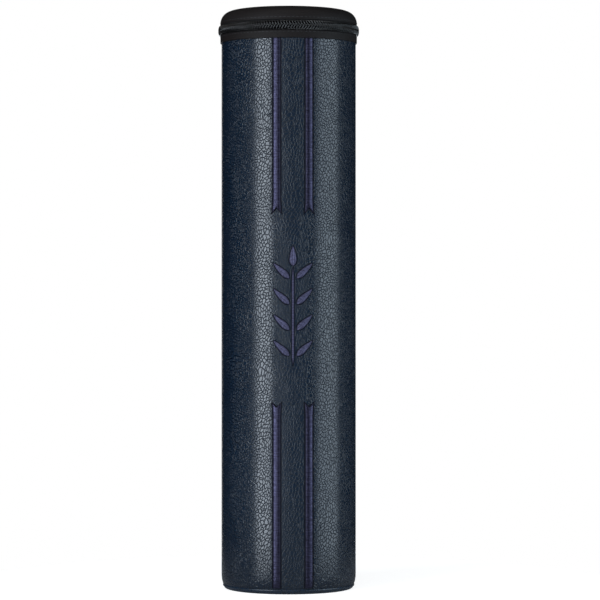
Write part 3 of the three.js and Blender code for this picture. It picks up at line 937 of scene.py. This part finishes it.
@dataclass
class Satin:
    """A length of satin stitch, laid along a straight line on the cover.

    Attributes:
        node: The node that it stands for.
        start: Where its middle line starts: across and height.
        lean: Angle of the line from the vertical.
        length: Its length.
        width: Gives its half width at a share of its length.
        slant: How far a thread runs along the line, as a share of its half width.
        vein: Depth of a groove along the middle line.
        notches: Depth of the notch in each end, first and last.
        notch_zone: Length over which a notch bends the threads.
        full_half: Half width from which on the padding is full.
        rim: Width of the dark rim.
        least_satin: Share of the half width that is left inside the rim at least.
        shadow: Width of the shaded places beside the rim.
        sunk: How far the piece reaches into the leatherette.
        thread: Width of a thread, which is raised by its ridge.
        rows_each: Number of rows of points for each thread.
        finish: Its thread.
    """

    node: str
    start: Point
    lean: float
    length: float
    width: Callable[[float], float]
    slant: float = 0.1
    vein: float = 0.0
    notches: Point = (0.0, 0.0)
    notch_zone: float = 9.0 * MM
    crown: float = 1.0 * MM
    full_half: float = 1.6 * MM
    rim: float = 0.6 * MM
    least_satin: float = 0.3
    rim_lift: float = 0.08 * MM
    shadow: float = 0.6 * MM
    sunk: float = 0.3 * MM
    thread: float = 0.42 * MM
    ridge: float = 0.018 * MM
    vein_width: float = 0.32 * MM
    end_round: float = 0.7 * MM
    disc_pitch: float = 1.2 * MM
    columns: int = 16
    rows_each: int = 3
    finish: SatinThread = THREAD

    def spot(self, along: float, across: float) -> Point:
        """Returns a place by its distance along the line and to the side: across and height."""
        ahead, aside = math.sin(self.lean), math.cos(self.lean)
        u = self.start[0] + along * ahead + across * aside
        return u, self.start[1] + along * aside - across * ahead

    def discs(self) -> list[Triple]:
        """Returns discs that fill the outline: across, height and radius."""
        count = max(2, round(self.length / self.disc_pitch))
        shares = [i / count for i in range(count + 1)]
        return [(*self.spot(self.length * share, 0.0), self.width(share)) for share in shares]

    def lift(self, side: float, half: float, from_end: float) -> float:
        """Returns the height of the surface above the cover.

        Args:
            side: Distance from the middle line.
            half: Half width there.
            from_end: Distance from the nearest end.
        """
        satin = max(half - self.rim, self.least_satin * half)
        if side >= satin or from_end <= self.rim:
            return self.rim_lift
        rounding = min(1.0, (from_end - self.rim) / self.end_round)
        ends = math.sqrt(1 - (1 - rounding) ** 2)
        fullness = math.sqrt(min(1.0, satin / self.full_half))
        dome = math.sqrt(1 - (side / satin) ** 2)
        groove = self.vein * math.exp(-((side / self.vein_width) ** 2))
        return self.rim_lift + (self.crown * fullness - self.rim_lift - groove) * dome * ends

    def along(self, share: float, spread: float, half: float) -> float:
        """Returns how far along the line a thread lies at a place across it.

        Args:
            share: The thread's share of the length.
            spread: The place across, from 0 in the middle to 1 at the edge.
            half: Half width there.
        """
        plain = self.length * share + self.slant * spread * half * math.sin(math.pi * share)
        first, last = (notch * (1 - spread) for notch in self.notches)
        zone = self.notch_zone
        if first and plain < zone:
            return first + (zone - first) * plain / zone
        if last and plain > self.length - zone:
            return self.length - last - (zone - last) * (self.length - plain) / zone
        return plain

    def from_end(self, along: float, spread: float) -> float:
        """Returns the distance to the nearest notched end."""
        first, last = self.notches
        gaps = []
        if first:
            gaps.append(along - first * (1 - spread))
        if last:
            gaps.append(self.length - last * (1 - spread) - along)
        return min(gaps, default=math.inf)

    def mark_shaded_rim(self, bm: bmesh.types.BMesh) -> None:
        """Marks the rim of the flat slab with 1, and its shadow with less, for the painted shade.
        """
        rim = bm.verts.layers.float.new("ShadedRim")
        for vert in bm.verts:
            share = (vert.co.y + 1) / 2
            half = self.width(share)
            side = abs(math.sin(vert.co.x * math.pi / 2)) * half
            near = self.from_end(self.along(share, side / half, half), side / half) < self.rim
            outside = side > half - self.rim or abs(vert.co.y) > 1 - WELD
            shaded = max(0.0, 1 - (half - self.rim - side) / self.shadow)
            vert[rim] = 1.0 if near or outside else shaded

    def make(self, cover: Cover) -> None:
        """Makes the piece on the cover."""

        def move(unit: Vector) -> tuple[Vector, Point]:
            """Returns the place and the UV of a point of the slab."""
            share = (unit.y + 1) / 2
            half = self.width(share)
            spread = math.sin(unit.x * math.pi / 2)
            across = spread * half
            along = self.along(share, abs(spread), half)
            lift = -self.sunk
            if unit.z > 0.5:
                lift = self.lift(abs(across), half, self.from_end(along, abs(spread)))
                wave = math.cos(FULL_TURN * share * self.length / self.thread)
                lift += self.ridge * wave * min(1.0, lift / self.crown)
            return cover.wrap(*self.spot(along, across), lift), (across, share * self.length)

        rows = round(self.length / self.thread) * self.rows_each
        bm = slab(self.columns, rows)
        self.mark_shaded_rim(bm)
        dress(moulded(bm, move), f"{self.node}_satin", self.node, self.finish, "case")


@dataclass
class Embroidery:
    """Four stripes with notched ends, and a sprig of leaves between them.

    Attributes:
        spacing: Distance between the middle lines of two stripes.
        upper_end: Height at which the upper stripes end in their tails.
        lower_end: Height at which the lower ones do.
        sprig_raise: How far the sprig's middle is above the middle between the tails.
        stem_base: Share of the stem's width at its foot, and how fast it grows from there.
        stem_tip: The same for its tip.
        stem_foot: Length of stem under the first leaves.
        leaf_belly: Where a leaf is widest. Below 1 it is nearer to the base.
        leaf_blunting: How pointed a leaf is. Below 1 it is blunter.
    """

    spacing: float = 19.54 * MM
    width: float = 5.8 * MM
    tail_width: float = 6.8 * MM
    tail_length: float = 9.0 * MM
    upper_end: float = 226.5 * MM
    lower_end: float = 115.6 * MM
    upper_notch: float = 3.9 * MM
    lower_notch: float = 3.0 * MM
    sprig_height: float = 72.0 * MM
    sprig_raise: float = 1.45 * MM
    stem_width: float = 2.2 * MM
    stem_base: Point = (0.25, 9.0)
    stem_tip: Point = (0.5, 4.0)
    stem_shaded_rim: float = 0.3 * MM
    stem_foot: float = 6.0 * MM
    leaf_spacing: float = 15.4 * MM
    leaf_length: float = 13.8 * MM
    leaf_width: float = 4.8 * MM
    leaf_lean: float = math.radians(47)
    leaf_gap: float = 0.4 * MM
    leaf_point: float = 0.5 * MM
    leaf_belly: float = 0.8
    leaf_blunting: float = 0.75
    leaf_shaded_rim: float = 0.4 * MM
    leaf_slant: float = -0.7
    leaf_vein: float = 0.3 * MM
    bud_length: float = 12.5 * MM
    bud_width: float = 5.2 * MM
    pieces: list[Satin] = field(default_factory=list)

    def stripe_half(self, length: float, tail_first: bool) -> Callable[[float], float]:
        """Returns the half width of a stripe that widens into its tail."""

        def half(share: float) -> float:
            """Returns the half width at a share of the length."""
            from_tail = length * (share if tail_first else 1 - share)
            spread = max(0.0, 1 - from_tail / self.tail_length)
            return (self.width + (self.tail_width - self.width) * spread) / 2

        return half

    def leaf_half(self, width: float) -> Callable[[float], float]:
        """Returns the half width of a leaf of a full width."""

        def half(share: float) -> float:
            """Returns the half width at a share of the length."""
            swelling = max(0.0, math.sin(math.pi * share**self.leaf_belly))
            fullness = swelling**self.leaf_blunting
            return (self.leaf_point + (width - self.leaf_point) * fullness) / 2

        return half

    def stem_half(self, share: float) -> float:
        """Returns the half width of the stem, which tapers to both ends."""
        foot, foot_rise = self.stem_base
        tip, tip_rise = self.stem_tip
        taper = min(1.0, foot + foot_rise * share, tip + tip_rise * (1 - share))
        return self.stem_width / 2 * taper

    def plan(self, band_bottom: float, foot: float) -> None:
        """Lays out every piece.

        Args:
            band_bottom: Height of the band that covers the upper stripes' ends.
            foot: Height at which the lower stripes end.
        """
        stripes = (
            ("upper", self.upper_end, band_bottom - self.upper_end, (self.upper_notch, 0.0)),
            ("lower", foot, self.lower_end - foot, (0.0, self.lower_notch)),
        )
        for name, side in SIDES:
            for level, start, length, notches in stripes:
                half = self.stripe_half(length, notches[0] > 0)
                place = (side * self.spacing / 2, start)
                node = f"stripe_{level}_{name}"
                self.pieces.append(Satin(node, place, 0.0, length, half, notches=notches))
        self.plan_sprig()

    def plan_sprig(self) -> None:
        """Lays out the stem, the bud and the leaves."""
        low = (self.upper_end + self.lower_end) / 2 + self.sprig_raise - self.sprig_height / 2
        stem = self.sprig_height - self.bud_length - self.leaf_gap
        self.pieces.append(
            Satin(
                "sprig_stem", (0.0, low), 0.0, stem, self.stem_half,
                slant=0.0, rim=self.stem_shaded_rim, columns=10, finish=LEAF_THREAD_PAINTED_LIGHTER,
            )
        )
        self.leaf("bud", (0.0, low + stem + self.leaf_gap), self.bud_length, self.bud_width, 0.0)
        x = self.stem_width / 2 + self.leaf_gap + self.leaf_point
        for pair in range(int((stem - self.stem_foot) / self.leaf_spacing) + 1):
            y = low + self.stem_foot + pair * self.leaf_spacing
            for name, side in SIDES:
                node, lean = f"leaf_{name}_{pair + 1}", side * self.leaf_lean
                self.leaf(node, (side * x, y), self.leaf_length, self.leaf_width, lean)

    def leaf(self, name: str, start: Point, length: float, width: float, lean: float) -> None:
        """Lays out one leaf of a length and a width, from its base."""
        self.pieces.append(
            Satin(
                f"sprig_{name}", start, lean, length, self.leaf_half(width),
                slant=self.leaf_slant, vein=self.leaf_vein, rim=self.leaf_shaded_rim, columns=18,
                finish=LEAF_THREAD_PAINTED_LIGHTER,
            )
        )

    def discs(self) -> list[Triple]:
        """Returns discs that fill every piece."""
        return [disc for piece in self.pieces for disc in piece.discs()]

    def make(self, cover: Cover) -> None:
        """Makes every piece."""
        for piece in self.pieces:
            piece.make(cover)


@dataclass
class Inside:
    """The layers of the tube and its base.

    Attributes:
        wall: Thickness of the board.
        sheet: Thickness of the foam.
        pad_rings: Shares of the pad's radius at which its top has points.
        bead: Height of the turned edge that stands over the base.
        edge_width: Width of the rounded edge under it.
        pitch: Distance between the points up a straight wall.
    """

    wall: float = 2.0 * MM
    lining: float = 0.6 * MM
    fold_round: float = 0.3 * MM
    sheet: float = 0.5 * MM
    pad_round: float = 0.8 * MM
    pad_rings: tuple[float, ...] = (0.7, 0.35, 0.0)
    bead: float = 1.0 * MM
    base_leather: float = 0.9 * MM
    edge_width: float = 2.65 * MM
    edge_steps: int = 8
    pitch: float = 8.0 * MM

    def tube(self) -> None:
        """Makes the board tube and its foam wrap."""
        core = ring("tube_core", self.wall, self.pitch)
        round_piece(core, "core_tube", "tube_core", BOARD, "case")
        sheet = ring("foam_wrap", self.sheet)
        round_piece(sheet, "foam_sheet", "foam_wrap", FOAM, "case")

    def velvet(self) -> None:
        """Makes the lining, which is folded over the tube's rim."""
        core, low, high = span("tube_core")
        face = core - self.wall - GLUE - self.lining
        crest, under, soft = top("body_lining"), high + GLUE, self.fold_round
        fold = bend((face, crest - 3 * soft), (face, crest), (face + 3 * soft, crest), steps=5)
        profile = [
            (core, under),
            (face + self.lining, under),
            (face + self.lining, low),
            *climb(face, low, fold[0][1], self.pitch),
            *fold,
            *bend((core - soft, crest), (core, crest), (core, crest - soft), steps=3),
        ]
        round_piece(profile, "lining_velvet", "body_lining", VELVET, "case")

    def base(self) -> None:
        """Makes the board disc, the leatherette under it and the pad on top."""
        disc = ring("base_board", outer("base_board"))
        round_piece(disc, "base_disc", "base_board", BOARD, "case")
        rim, rise, bead = outer("base_cover"), top("base_cover"), self.bead
        edge = bend(
            (rim - self.edge_width, 0), (rim - 4 * GLUE, GLUE), (rim, rise - bead), self.edge_steps
        )
        out, crest = rim + bead / 2, rise + bead / 2
        seam = bend((rim, rise - bead), (out, rise - bead), (out, rise - bead / 4), steps=5)
        seam += bend((out, rise - bead / 4), (out, crest), (rim - bead / 2, crest), steps=7)[1:]
        leather = self.base_leather
        inside = [(rim - bead / 2, rise), (rim - leather, rise), (rim - leather, leather)]
        under = [(0, 0), (rim / 2, 0), *edge, *seam[1:], *inside, (0, leather)]
        round_piece(under, "base_skin", "base_cover", NAVY_FLAT, "case")
        pad, floor, plush = span("floor_pad")
        soft = self.pad_round
        side = bend((pad, plush - soft), (pad, plush), (pad - soft, plush), steps=5)
        crown = [(pad * share, plush) for share in self.pad_rings]
        profile = [(0, floor), (pad, floor), *side, *crown]
        velvet = round_piece(profile, "pad_velvet", "floor_pad", VELVET, "case")


@dataclass
class Lid:
    """The cap over the zip, with its board, foam and lining.

    Attributes:
        round_width: Width of the rounded shoulder.
        shoulder_inset: How far inside the wall the shoulder's curve bends.
        shoulder_drop: How far under the top it bends.
        tape_turn: Share of the shoulder's curve down to which the foam reaches. The zip's tape
            is turned in under the rest.
    """

    radius: float = outer("lid_cover")
    edge: float = bottom("lid_cover")
    high: float = top("lid_cover")
    round_width: float = 7.2 * MM
    shoulder_inset: float = 1.1 * MM
    shoulder_drop: float = 0.8 * MM
    wall: float = 2.0 * MM
    cover: float = 0.7 * MM
    tape: float = 0.5 * MM
    board: float = 1.8 * MM
    lining: float = 0.5 * MM
    edge_round: float = 0.3 * MM
    crown_steps: int = 16
    tape_turn: float = 0.5
    stitch_rise: float = 1.5 * MM

    def crown(self, depth: float) -> list[Point]:
        """Returns the curve over the lid's shoulder at a depth below its surface."""
        flat = self.radius - self.round_width
        return bend(
            (flat, self.high - depth),
            (self.radius - self.shoulder_inset - depth, self.high - self.shoulder_drop - depth),
            (self.radius - depth, self.edge + self.wall),
            self.crown_steps,
        )

    def turned(self) -> int:
        """Returns the number of the point in the shoulder's curve at which the tape ends."""
        return round(self.crown_steps * self.tape_turn)

    def shell(self, name: str, node: str, near: float, far: float, finish: Finish) -> None:
        """Makes a cap between two depths below the lid's surface."""
        profile = [
            (0, self.high - near),
            (self.radius / 2, self.high - near),
            *self.crown(near),
            *reversed(self.crown(far)),
            (self.radius / 2, self.high - far),
            (0, self.high - far),
        ]
        round_piece(profile, name, node, finish, "lid")

    def skin(self) -> None:
        """Makes the leatherette cap with its hem."""
        inner = self.radius - self.cover
        low, soft = self.edge, self.edge_round
        hem = bend((inner + soft, low), (self.radius, low), (self.radius, low + 2 * soft), steps=4)
        profile = [
            (0, self.high),
            (self.radius / 3, self.high),
            (self.radius * 2 / 3, self.high),
            *self.crown(0),
            (self.radius, low + 3 * soft),
            *reversed(hem),
            (inner, low + soft),
            *reversed(self.crown(self.cover)),
            (0, self.high - self.cover),
        ]
        round_piece(profile, "lid_skin", "lid_cover", BLACK, "lid", steps=200)

    def make(self) -> None:
        """Makes the cap and what is under it."""
        self.skin()
        tape_depth = self.cover + GLUE
        board_depth = tape_depth + self.tape + GLUE
        lining_depth = board_depth + self.board + GLUE
        self.shell("lid_disc", "lid_board", board_depth, lining_depth - GLUE, BOARD)
        self.shell("lid_velvet", "lid_lining", lining_depth, lining_depth + self.lining, VELVET)
        turn = self.turned() - 1
        foam = [
            (0, self.high - tape_depth),
            *self.crown(tape_depth)[:turn],
            *reversed(self.crown(board_depth - GLUE)[:turn]),
            (0, self.high - board_depth + GLUE),
        ]
        round_piece(foam, "lid_foam_sheet", "lid_foam", FOAM, "lid")


@dataclass
class Stitching:
    """A row of sewn stitches round the tube's axis.

    Attributes:
        name: The piece's name.
        body: The body that it rides on.
        radius: Radius of the surface that it lies on.
        height: Its height.
        start: The angle at which it starts, from +X towards +Y.
        arc: The angle that it fills.
    """

    name: str
    body: str
    radius: float
    height: float
    start: float
    arc: float
    pitch: float = 2.6 * MM
    length: float = 1.9 * MM
    thickness: float = 0.36 * MM
    sink: float = 0.04 * MM

    def make(self) -> None:
        """Makes the row as one piece."""
        count = int(self.arc * self.radius / self.pitch)
        size = Matrix.Diagonal((self.length, self.thickness, self.thickness, 1))
        lie = Matrix.Rotation(math.pi / 2, 4, "Y")
        spot = Matrix.Translation((0, self.radius - self.sink, self.height))
        bm = bmesh.new()
        for i in range(count):
            angle = self.start + self.arc * (i + 0.5) / count
            bead = bmesh.ops.create_uvsphere(bm, u_segments=8, v_segments=5, radius=0.5)["verts"]
            turn = Matrix.Rotation(angle - BACK, 4, "Z")
            bmesh.ops.transform(bm, matrix=turn @ spot @ size @ lie, verts=bead)
        dress(bm, self.name, None, SEWING, self.body)


@dataclass
class Zip:
    """Two tapes and two nylon coils.

    Attributes:
        middle: Height of the chain's middle line.
        chain_width: Height of both coils together.
        ground: Radius of the surface that the coils lie on.
        reach: Radius that they reach.
        wire: Radius of the nylon wire.
        head: How far a coil's heads reach over the middle line.
        slant: How far the heads run ahead.
        arch: How far a coil is rounded at its outer side.
        tape_gap: Width of the gap between the tape ends at the back.
        step_rise: Height over which the lower tape steps out.
        end_half_angle: Half of the angle at the back that the coils leave free.
        spare: Number of turns by which a coil is shorter than its place.
    """

    middle: float = 340.0 * MM
    chain_width: float = 5.8 * MM
    ground: float = outer("body_cover")
    reach: float = outer("upper_teeth")
    pitch: float = 1.7 * MM
    wire: float = 0.37 * MM
    head: float = 0.4 * MM
    slant: float = 1.0 * MM
    arch: float = 0.35 * MM
    tape_gap: float = 8.0 * MM
    tape: float = 0.5 * MM
    tape_pitch: float = 1.0 * MM
    step_rise: float = 1.4 * MM
    end_half_angle: float = 0.3715
    spare: int = 2
    resolution: int = 3

    def loop(self) -> list[tuple[float, float, float, float]]:
        """Returns one turn of a coil: share of the pitch, height, way out and thickness share."""
        edge = self.chain_width / 2 - self.wire
        nose = self.wire - self.head
        low = GLUE + self.wire
        high = self.reach - self.ground - self.wire
        middle = (low + high) / 2
        soft = self.wire / 2
        return [
            (0.00, edge - soft, high - self.arch, 1.0),
            (0.06, edge * 0.6, high - self.arch / 3, 1.0),
            (0.11, edge * 0.25, high, 1.1),
            (0.15, nose + soft, high - soft / 2, 1.3),
            (0.18, nose, middle + soft, 1.4),
            (0.20, nose, middle - soft, 1.2),
            (0.20, nose + soft, low + soft / 2, 1.0),
            (0.18, edge * 0.3, low, 0.9),
            (0.20, edge - 2 * soft, low, 0.9),
            (0.40, edge, low, 0.9),
            (0.80, edge, low + soft, 0.9),
        ]

    def wound(self, side: int) -> bpy.types.Curve:
        """Returns the coil above the middle line, for side 1, or under it, as one wire."""
        middle = (self.ground + self.reach) / 2
        arc = FULL_TURN - 2 * self.end_half_angle
        count = int(arc * middle / self.pitch) - self.spare
        step = arc / (count + self.spare)
        first = BACK + self.end_half_angle + step * (0.5 if side > 0 else 1.0)
        turn = self.loop()
        curve = bpy.data.curves.new("wire", "CURVE")
        curve.dimensions = "3D"
        curve.bevel_depth = self.wire
        curve.bevel_resolution = self.resolution
        curve.use_fill_caps = True
        spline = curve.splines.new("POLY")
        spline.points.add(count * len(turn) - 1)
        for i, point in enumerate(spline.points):
            share, up, out, thickness = turn[i % len(turn)]
            lean = self.slant * (1 - up / (self.chain_width / 2)) / middle
            angle = first + (i // len(turn) + share) * step + lean
            reach = self.ground + out
            height = self.middle + side * up
            point.co = (reach * math.cos(angle), reach * math.sin(angle), height, 1)
            point.radius = thickness
        return curve

    def coil(self, side: int, name: str, node: str, body: str) -> None:
        """Makes one coil.

        Args:
            side: 1 for the upper row and -1 for the lower one.
            name: The piece's name.
            node: The node that it stands for.
            body: The body that it rides on.
        """
        rough = bpy.data.objects.new("wire", self.wound(side))
        bpy.context.scene.collection.objects.link(rough)
        graph = bpy.context.evaluated_depsgraph_get()
        bm = bmesh.new()
        bm.from_mesh(bpy.data.meshes.new_from_object(rough.evaluated_get(graph)))
        bpy.data.objects.remove(rough)
        dress(welded(bm), name, node, COIL, body)

    def tapes(self, lid: Lid) -> None:
        """Makes the two tapes."""
        gap = self.tape_gap / self.ground
        inner = outer("foam_wrap") - self.tape
        wall = self.ground - GLUE
        step = top("body_cover") + 2 * GLUE
        rise, low, high = self.step_rise, bottom("lower_tape"), top("lower_tape")
        profile = [
            (inner, low),
            (inner + self.tape, low),
            (inner + self.tape, step),
            (wall, step + rise),
            *climb(wall, step + rise, high, self.tape_pitch)[1:],
            (wall, high),
            (wall - self.tape, high),
            (wall - self.tape, step + rise + self.tape),
            (inner, step + self.tape),
        ]
        round_piece(profile, "tape_lower", "lower_tape", TAPE, "case", gap=gap)
        depth = lid.cover + GLUE
        outside, inside = (lid.crown(d)[lid.turned():] for d in (depth, depth + self.tape))
        face, low = lid.radius - depth, bottom("upper_tape")
        profile = [(face - self.tape, low), (face, low), *reversed(outside), *inside]
        round_piece(profile, "tape_upper", "upper_tape", TAPE, "lid", gap=gap)

    def make(self, lid: Lid) -> None:
        """Makes the zip."""
        self.tapes(lid)
        self.coil(1, "coil_upper", "upper_teeth", "lid")
        self.coil(-1, "coil_lower", "lower_teeth", "case")


@dataclass
class Band:
    """The black band under the zip."""

    radius: float = outer("lower_band")
    low: float = bottom("lower_band")
    high: float = top("lower_band")
    thickness: float = 0.6 * MM
    edge_round: float = 0.25 * MM
    stitch_drop: float = 0.9 * MM

    def make(self) -> None:
        """Makes the band."""
        inner, soft = self.radius - self.thickness, self.edge_round
        out, low, high = self.radius, self.low, self.high
        under = bend((inner + soft, low), (out, low), (out, low + 2 * soft), steps=4)
        over = bend((out, high - 2 * soft), (out, high), (inner + soft, high), steps=4)
        profile = [(inner, low), *under, *over, (inner, high)]
        round_piece(profile, "band_skin", "lower_band", BLACK, "case", steps=200)


@dataclass
class HingeStrip:
    """The sewn strip over the tape ends, on which the lid turns.

    Attributes:
        inner: Radius of its inner face.
        half_angle: Half of the angle that it fills round the tube's axis.
        axis_out: Distance of the hinge's axis from the tube's. Not used.
        fold_low: Height at which it starts to bend with the lid. Not used.
        fold_high: Height from which on it moves with the lid. Not used.
        hem: Distance of its stitches from its edges.
    """

    inner: float = 41.85 * MM
    thickness: float = 0.55 * MM
    half_angle: float = 0.3584
    low: float = bottom("hinge_strip")
    high: float = top("hinge_strip")
    axis_out: float = 42.5 * MM
    fold_low: float = 337.0 * MM
    fold_high: float = 343.0 * MM
    hem: float = 1.0 * MM
    columns: int = 36
    rows: int = 26

    def make(self) -> None:
        """Makes the strip between the case and the lid."""

        def move(unit: Vector) -> tuple[Vector, Point]:
            """Returns the place and the UV of a point of the slab."""
            angle = -unit.x * self.half_angle
            height = self.low + (self.high - self.low) * (unit.y + 1) / 2
            reach = self.inner + self.thickness * unit.z
            place = Vector((-reach * math.sin(angle), reach * math.cos(angle), height))
            return place, (-angle * self.inner, height)

        bm = moulded(slab(self.columns, self.rows), move)
        strip = dress(bm, "hinge_strip_skin", "hinge_strip", BLACK, None)
        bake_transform(strip)

    def stitch(self) -> None:
        """Sews the strip to the case and to the lid."""
        face = self.inner + self.thickness
        first = BACK - self.half_angle + self.hem / face
        across = 2 * (self.half_angle - self.hem / face)
        Stitching("strip_stitch_low", "case", face, self.low + self.hem, first, across).make()
        Stitching("strip_stitch_high", "lid", face, self.high - self.hem, first, across).make()


@dataclass
class Slider:
    """The slider and its pull, softened at their edges.

    Attributes:
        edge: Width of the rounding.
        flatness: Angle up to which two faces count as one.
        crease: Angle over which an edge is rounded.
    """

    edge: float = 0.14 * MM
    flatness: float = math.radians(2)
    crease: float = math.radians(30)

    def soften(self, node: str, name: str, body: str) -> None:
        """Makes a copy of a node with rounded edges.

        Args:
            node: The node.
            name: The copy's name.
            body: The body that it rides on.
        """
        bm = bmesh.new()
        bm.from_mesh(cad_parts[node].data)
        bmesh.ops.remove_doubles(bm, verts=bm.verts, dist=WELD)
        bmesh.ops.dissolve_limit(bm, angle_limit=self.flatness, verts=bm.verts, edges=bm.edges)
        sharp = [e for e in bm.edges if e.is_manifold and e.calc_face_angle() > self.crease]
        bmesh.ops.bevel(
            bm,
            geom=sharp,
            offset=self.edge,
            offset_type="OFFSET",
            affect="EDGES",
            segments=2,
            profile=0.5,
            material=-1,
            clamp_overlap=True,
        )
        bmesh.ops.triangulate(bm, faces=bm.faces)
        dress(bm, name, node, METAL, body)

    def make(self) -> None:
        """Makes both pieces."""
        self.soften("slider_body", "slider_shell", "slider")
        self.soften("pull_tab", "pull_plate", "pull")


@dataclass
class Studio:
    """Camera, lamps, floor and background.

    Attributes:
        distance: From the camera to the case's axis.
        azimuth: How far the camera is turned about the case, in degrees.
        aim_height: Height of the camera.
        aside: How far the camera is moved to its own right.
        lens: Focal length for the sensor's width, both in millimetres.
        clip: Nearest and farthest distance that the camera sees.
        lamp_aim: Height that the lamps face.
        floor_radius: Radius of the table top.
        floor_fibre: Size of the fibres in its paper, in millimetres.
        floor_tones: Tones of the paper.
        floor_glow: Its brightness where the camera sees it.
        dim: Colour of the dark room round the set.
        paper_half_angle: Half of the angle that the white paper fills, seen from the case.
    """

    distance: float = 1.640
    azimuth: float = -3.85
    aim_height: float = 0.1759
    aside: float = 6.93 * MM
    lens: float = 161.0
    sensor: float = 36.0
    clip: Point = (0.05, 20.0)
    lamp_aim: float = 0.16
    floor_radius: float = 0.21
    floor_fibre: float = 3.0
    floor_tones: Point = (0.62, 0.66)
    floor_roughness: float = 0.9
    floor_glow: float = 0.84
    dim: Colour = (0.010, 0.011, 0.012)
    paper_half_angle: float = 13.0

    def around(self, angle: float, distance: float, height: float) -> Vector:
        """Returns a place round the case, at an angle to the camera's own, in degrees."""
        turn = math.radians(self.azimuth + angle)
        return Vector((math.sin(turn) * distance, -math.cos(turn) * distance, height))

    def stand(self, name: str, data: bpy.types.ID, spot: Vector, ahead: Vector) -> bpy.types.Object:
        """Puts a camera or a lamp at a spot, facing ahead."""
        obj = bpy.data.objects.new(name, data)
        obj.location = spot
        obj.rotation_euler = ahead.to_track_quat("-Z", "Y").to_euler()
        bpy.context.scene.collection.objects.link(obj)
        return obj

    def camera(self) -> None:
        """Makes the camera."""
        data = bpy.data.cameras.new("camera")
        data.lens = self.lens
        data.sensor_width = self.sensor
        data.clip_start, data.clip_end = self.clip
        right = self.around(90, 1, 0)
        spot = self.around(0, self.distance, self.aim_height) + right * self.aside
        bpy.context.scene.camera = self.stand("camera", data, spot, -self.around(0, 1, 0))

    def lamp(self, name: str, spot: Vector, size: Point, power: float, tint: Colour) -> None:
        """Makes a soft box that faces the case.

        Args:
            name: Its name.
            spot: Where it stands.
            size: Its width and height.
            power: Its power in watts.
            tint: The colour of its light.
        """
        data = bpy.data.lights.new(name, "AREA")
        data.shape = "RECTANGLE"
        data.size, data.size_y = size
        data.energy = power
        data.color = tint
        self.stand(name, data, spot, Vector((0, 0, self.lamp_aim)) - spot)

    def lamps(self) -> None:
        """Makes two tall soft boxes in front, a broad one over the case and a low one behind."""
        cool, cold, white = (0.82, 0.91, 1.0), (0.75, 0.89, 1.0), (1.0, 1.0, 1.0)
        self.lamp("left_box", self.around(-42, 1.25, 0.20), (0.60, 1.25), 20.0, cool)
        self.lamp("right_box", self.around(71, 1.25, 0.20), (0.9, 1.25), 14.8, cold)
        self.lamp("top_box", self.around(-10, 0.55, 1.35), (0.9, 0.9), 4.0, white)
        self.lamp("back_box", self.around(180, 2.0, -0.55), (0.8, 0.75), 16.0, cool)

    def seen(self, nodes: Nodes) -> Wire:
        """Returns 1 for what the camera sees, also through a clear piece, and 0 for the rest."""
        return nodes.ray("Camera").most(nodes.ray("Transmission"))

    def world(self) -> None:
        """Makes a dim room with a roll of white paper behind the case."""
        world = bpy.data.worlds.new("room")
        world.use_nodes = True
        bpy.context.scene.world = world
        nodes = Nodes(world.node_tree)
        _, behind, _ = nodes.axes(nodes.node("ShaderNodeTexCoord", output="Generated"))
        edge = math.cos(math.radians(self.paper_half_angle))
        paper = behind.maths("GREATER_THAN", behind, edge)
        share = self.seen(nodes).most(nodes.ray("Glossy") * paper)
        colour = nodes.tint(share, self.dim, (1.0,) * 3)
        nodes.feed(world.node_tree.nodes["Background"].inputs["Color"], colour)

    def floor(self) -> None:
        """Makes a round pale table top that keeps the case's shadow."""
        bm = bmesh.new()
        bmesh.ops.create_circle(bm, cap_ends=True, segments=96, radius=self.floor_radius)
        table = shown(bm, "table_top")
        shader = Shader("table_paper")
        fibres = shader.noise(shader.place(Coordinates.SOLID), self.floor_fibre)
        dark, light = ((tone,) * 3 for tone in self.floor_tones)
        shader.set(
            base_color=shader.tint(fibres, dark, light),
            roughness=self.floor_roughness,
            specular_ior_level=0.0,
            emission_color=shader.tint(self.seen(shader), (0.0,) * 3, (self.floor_glow,) * 3),
            emission_strength=1.0,
        )
        table.data.materials.append(shader.material)

    def make(self) -> None:
        """Makes the whole studio."""
        bpy.context.scene.view_settings.view_transform = "Standard"
        self.camera()
        self.lamps()
        self.world()
        self.floor()


def main() -> None:
    """Builds the studio and every piece in order."""
    logging.basicConfig(level=logging.INFO, format="%(name)s %(message)s")
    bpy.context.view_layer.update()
    Studio().make()
    cover = Cover()
    embroidery = Embroidery()
    band = Band()
    embroidery.plan(band.low - GLUE, bottom("stripe_lower_left"))
    cover.make(embroidery.discs())
    embroidery.make(cover)
    inside = Inside()
    inside.tube()
    inside.velvet()
    inside.base()
    band.make()
    lid = Lid()
    lid.make()
    Zip().make(lid)
    strip = HingeStrip()
    strip.make()
    Slider().make()
    start = BACK + strip.half_angle
    arc = FULL_TURN - 2 * strip.half_angle
    Stitching("lid_topstitch", "lid", lid.radius, lid.edge + lid.stitch_rise, start, arc).make()
    height = band.high - band.stitch_drop
    Stitching("band_topstitch", "case", band.radius, height, start, arc).make()
    strip.stitch()


if __name__ == "__main__":
    main()
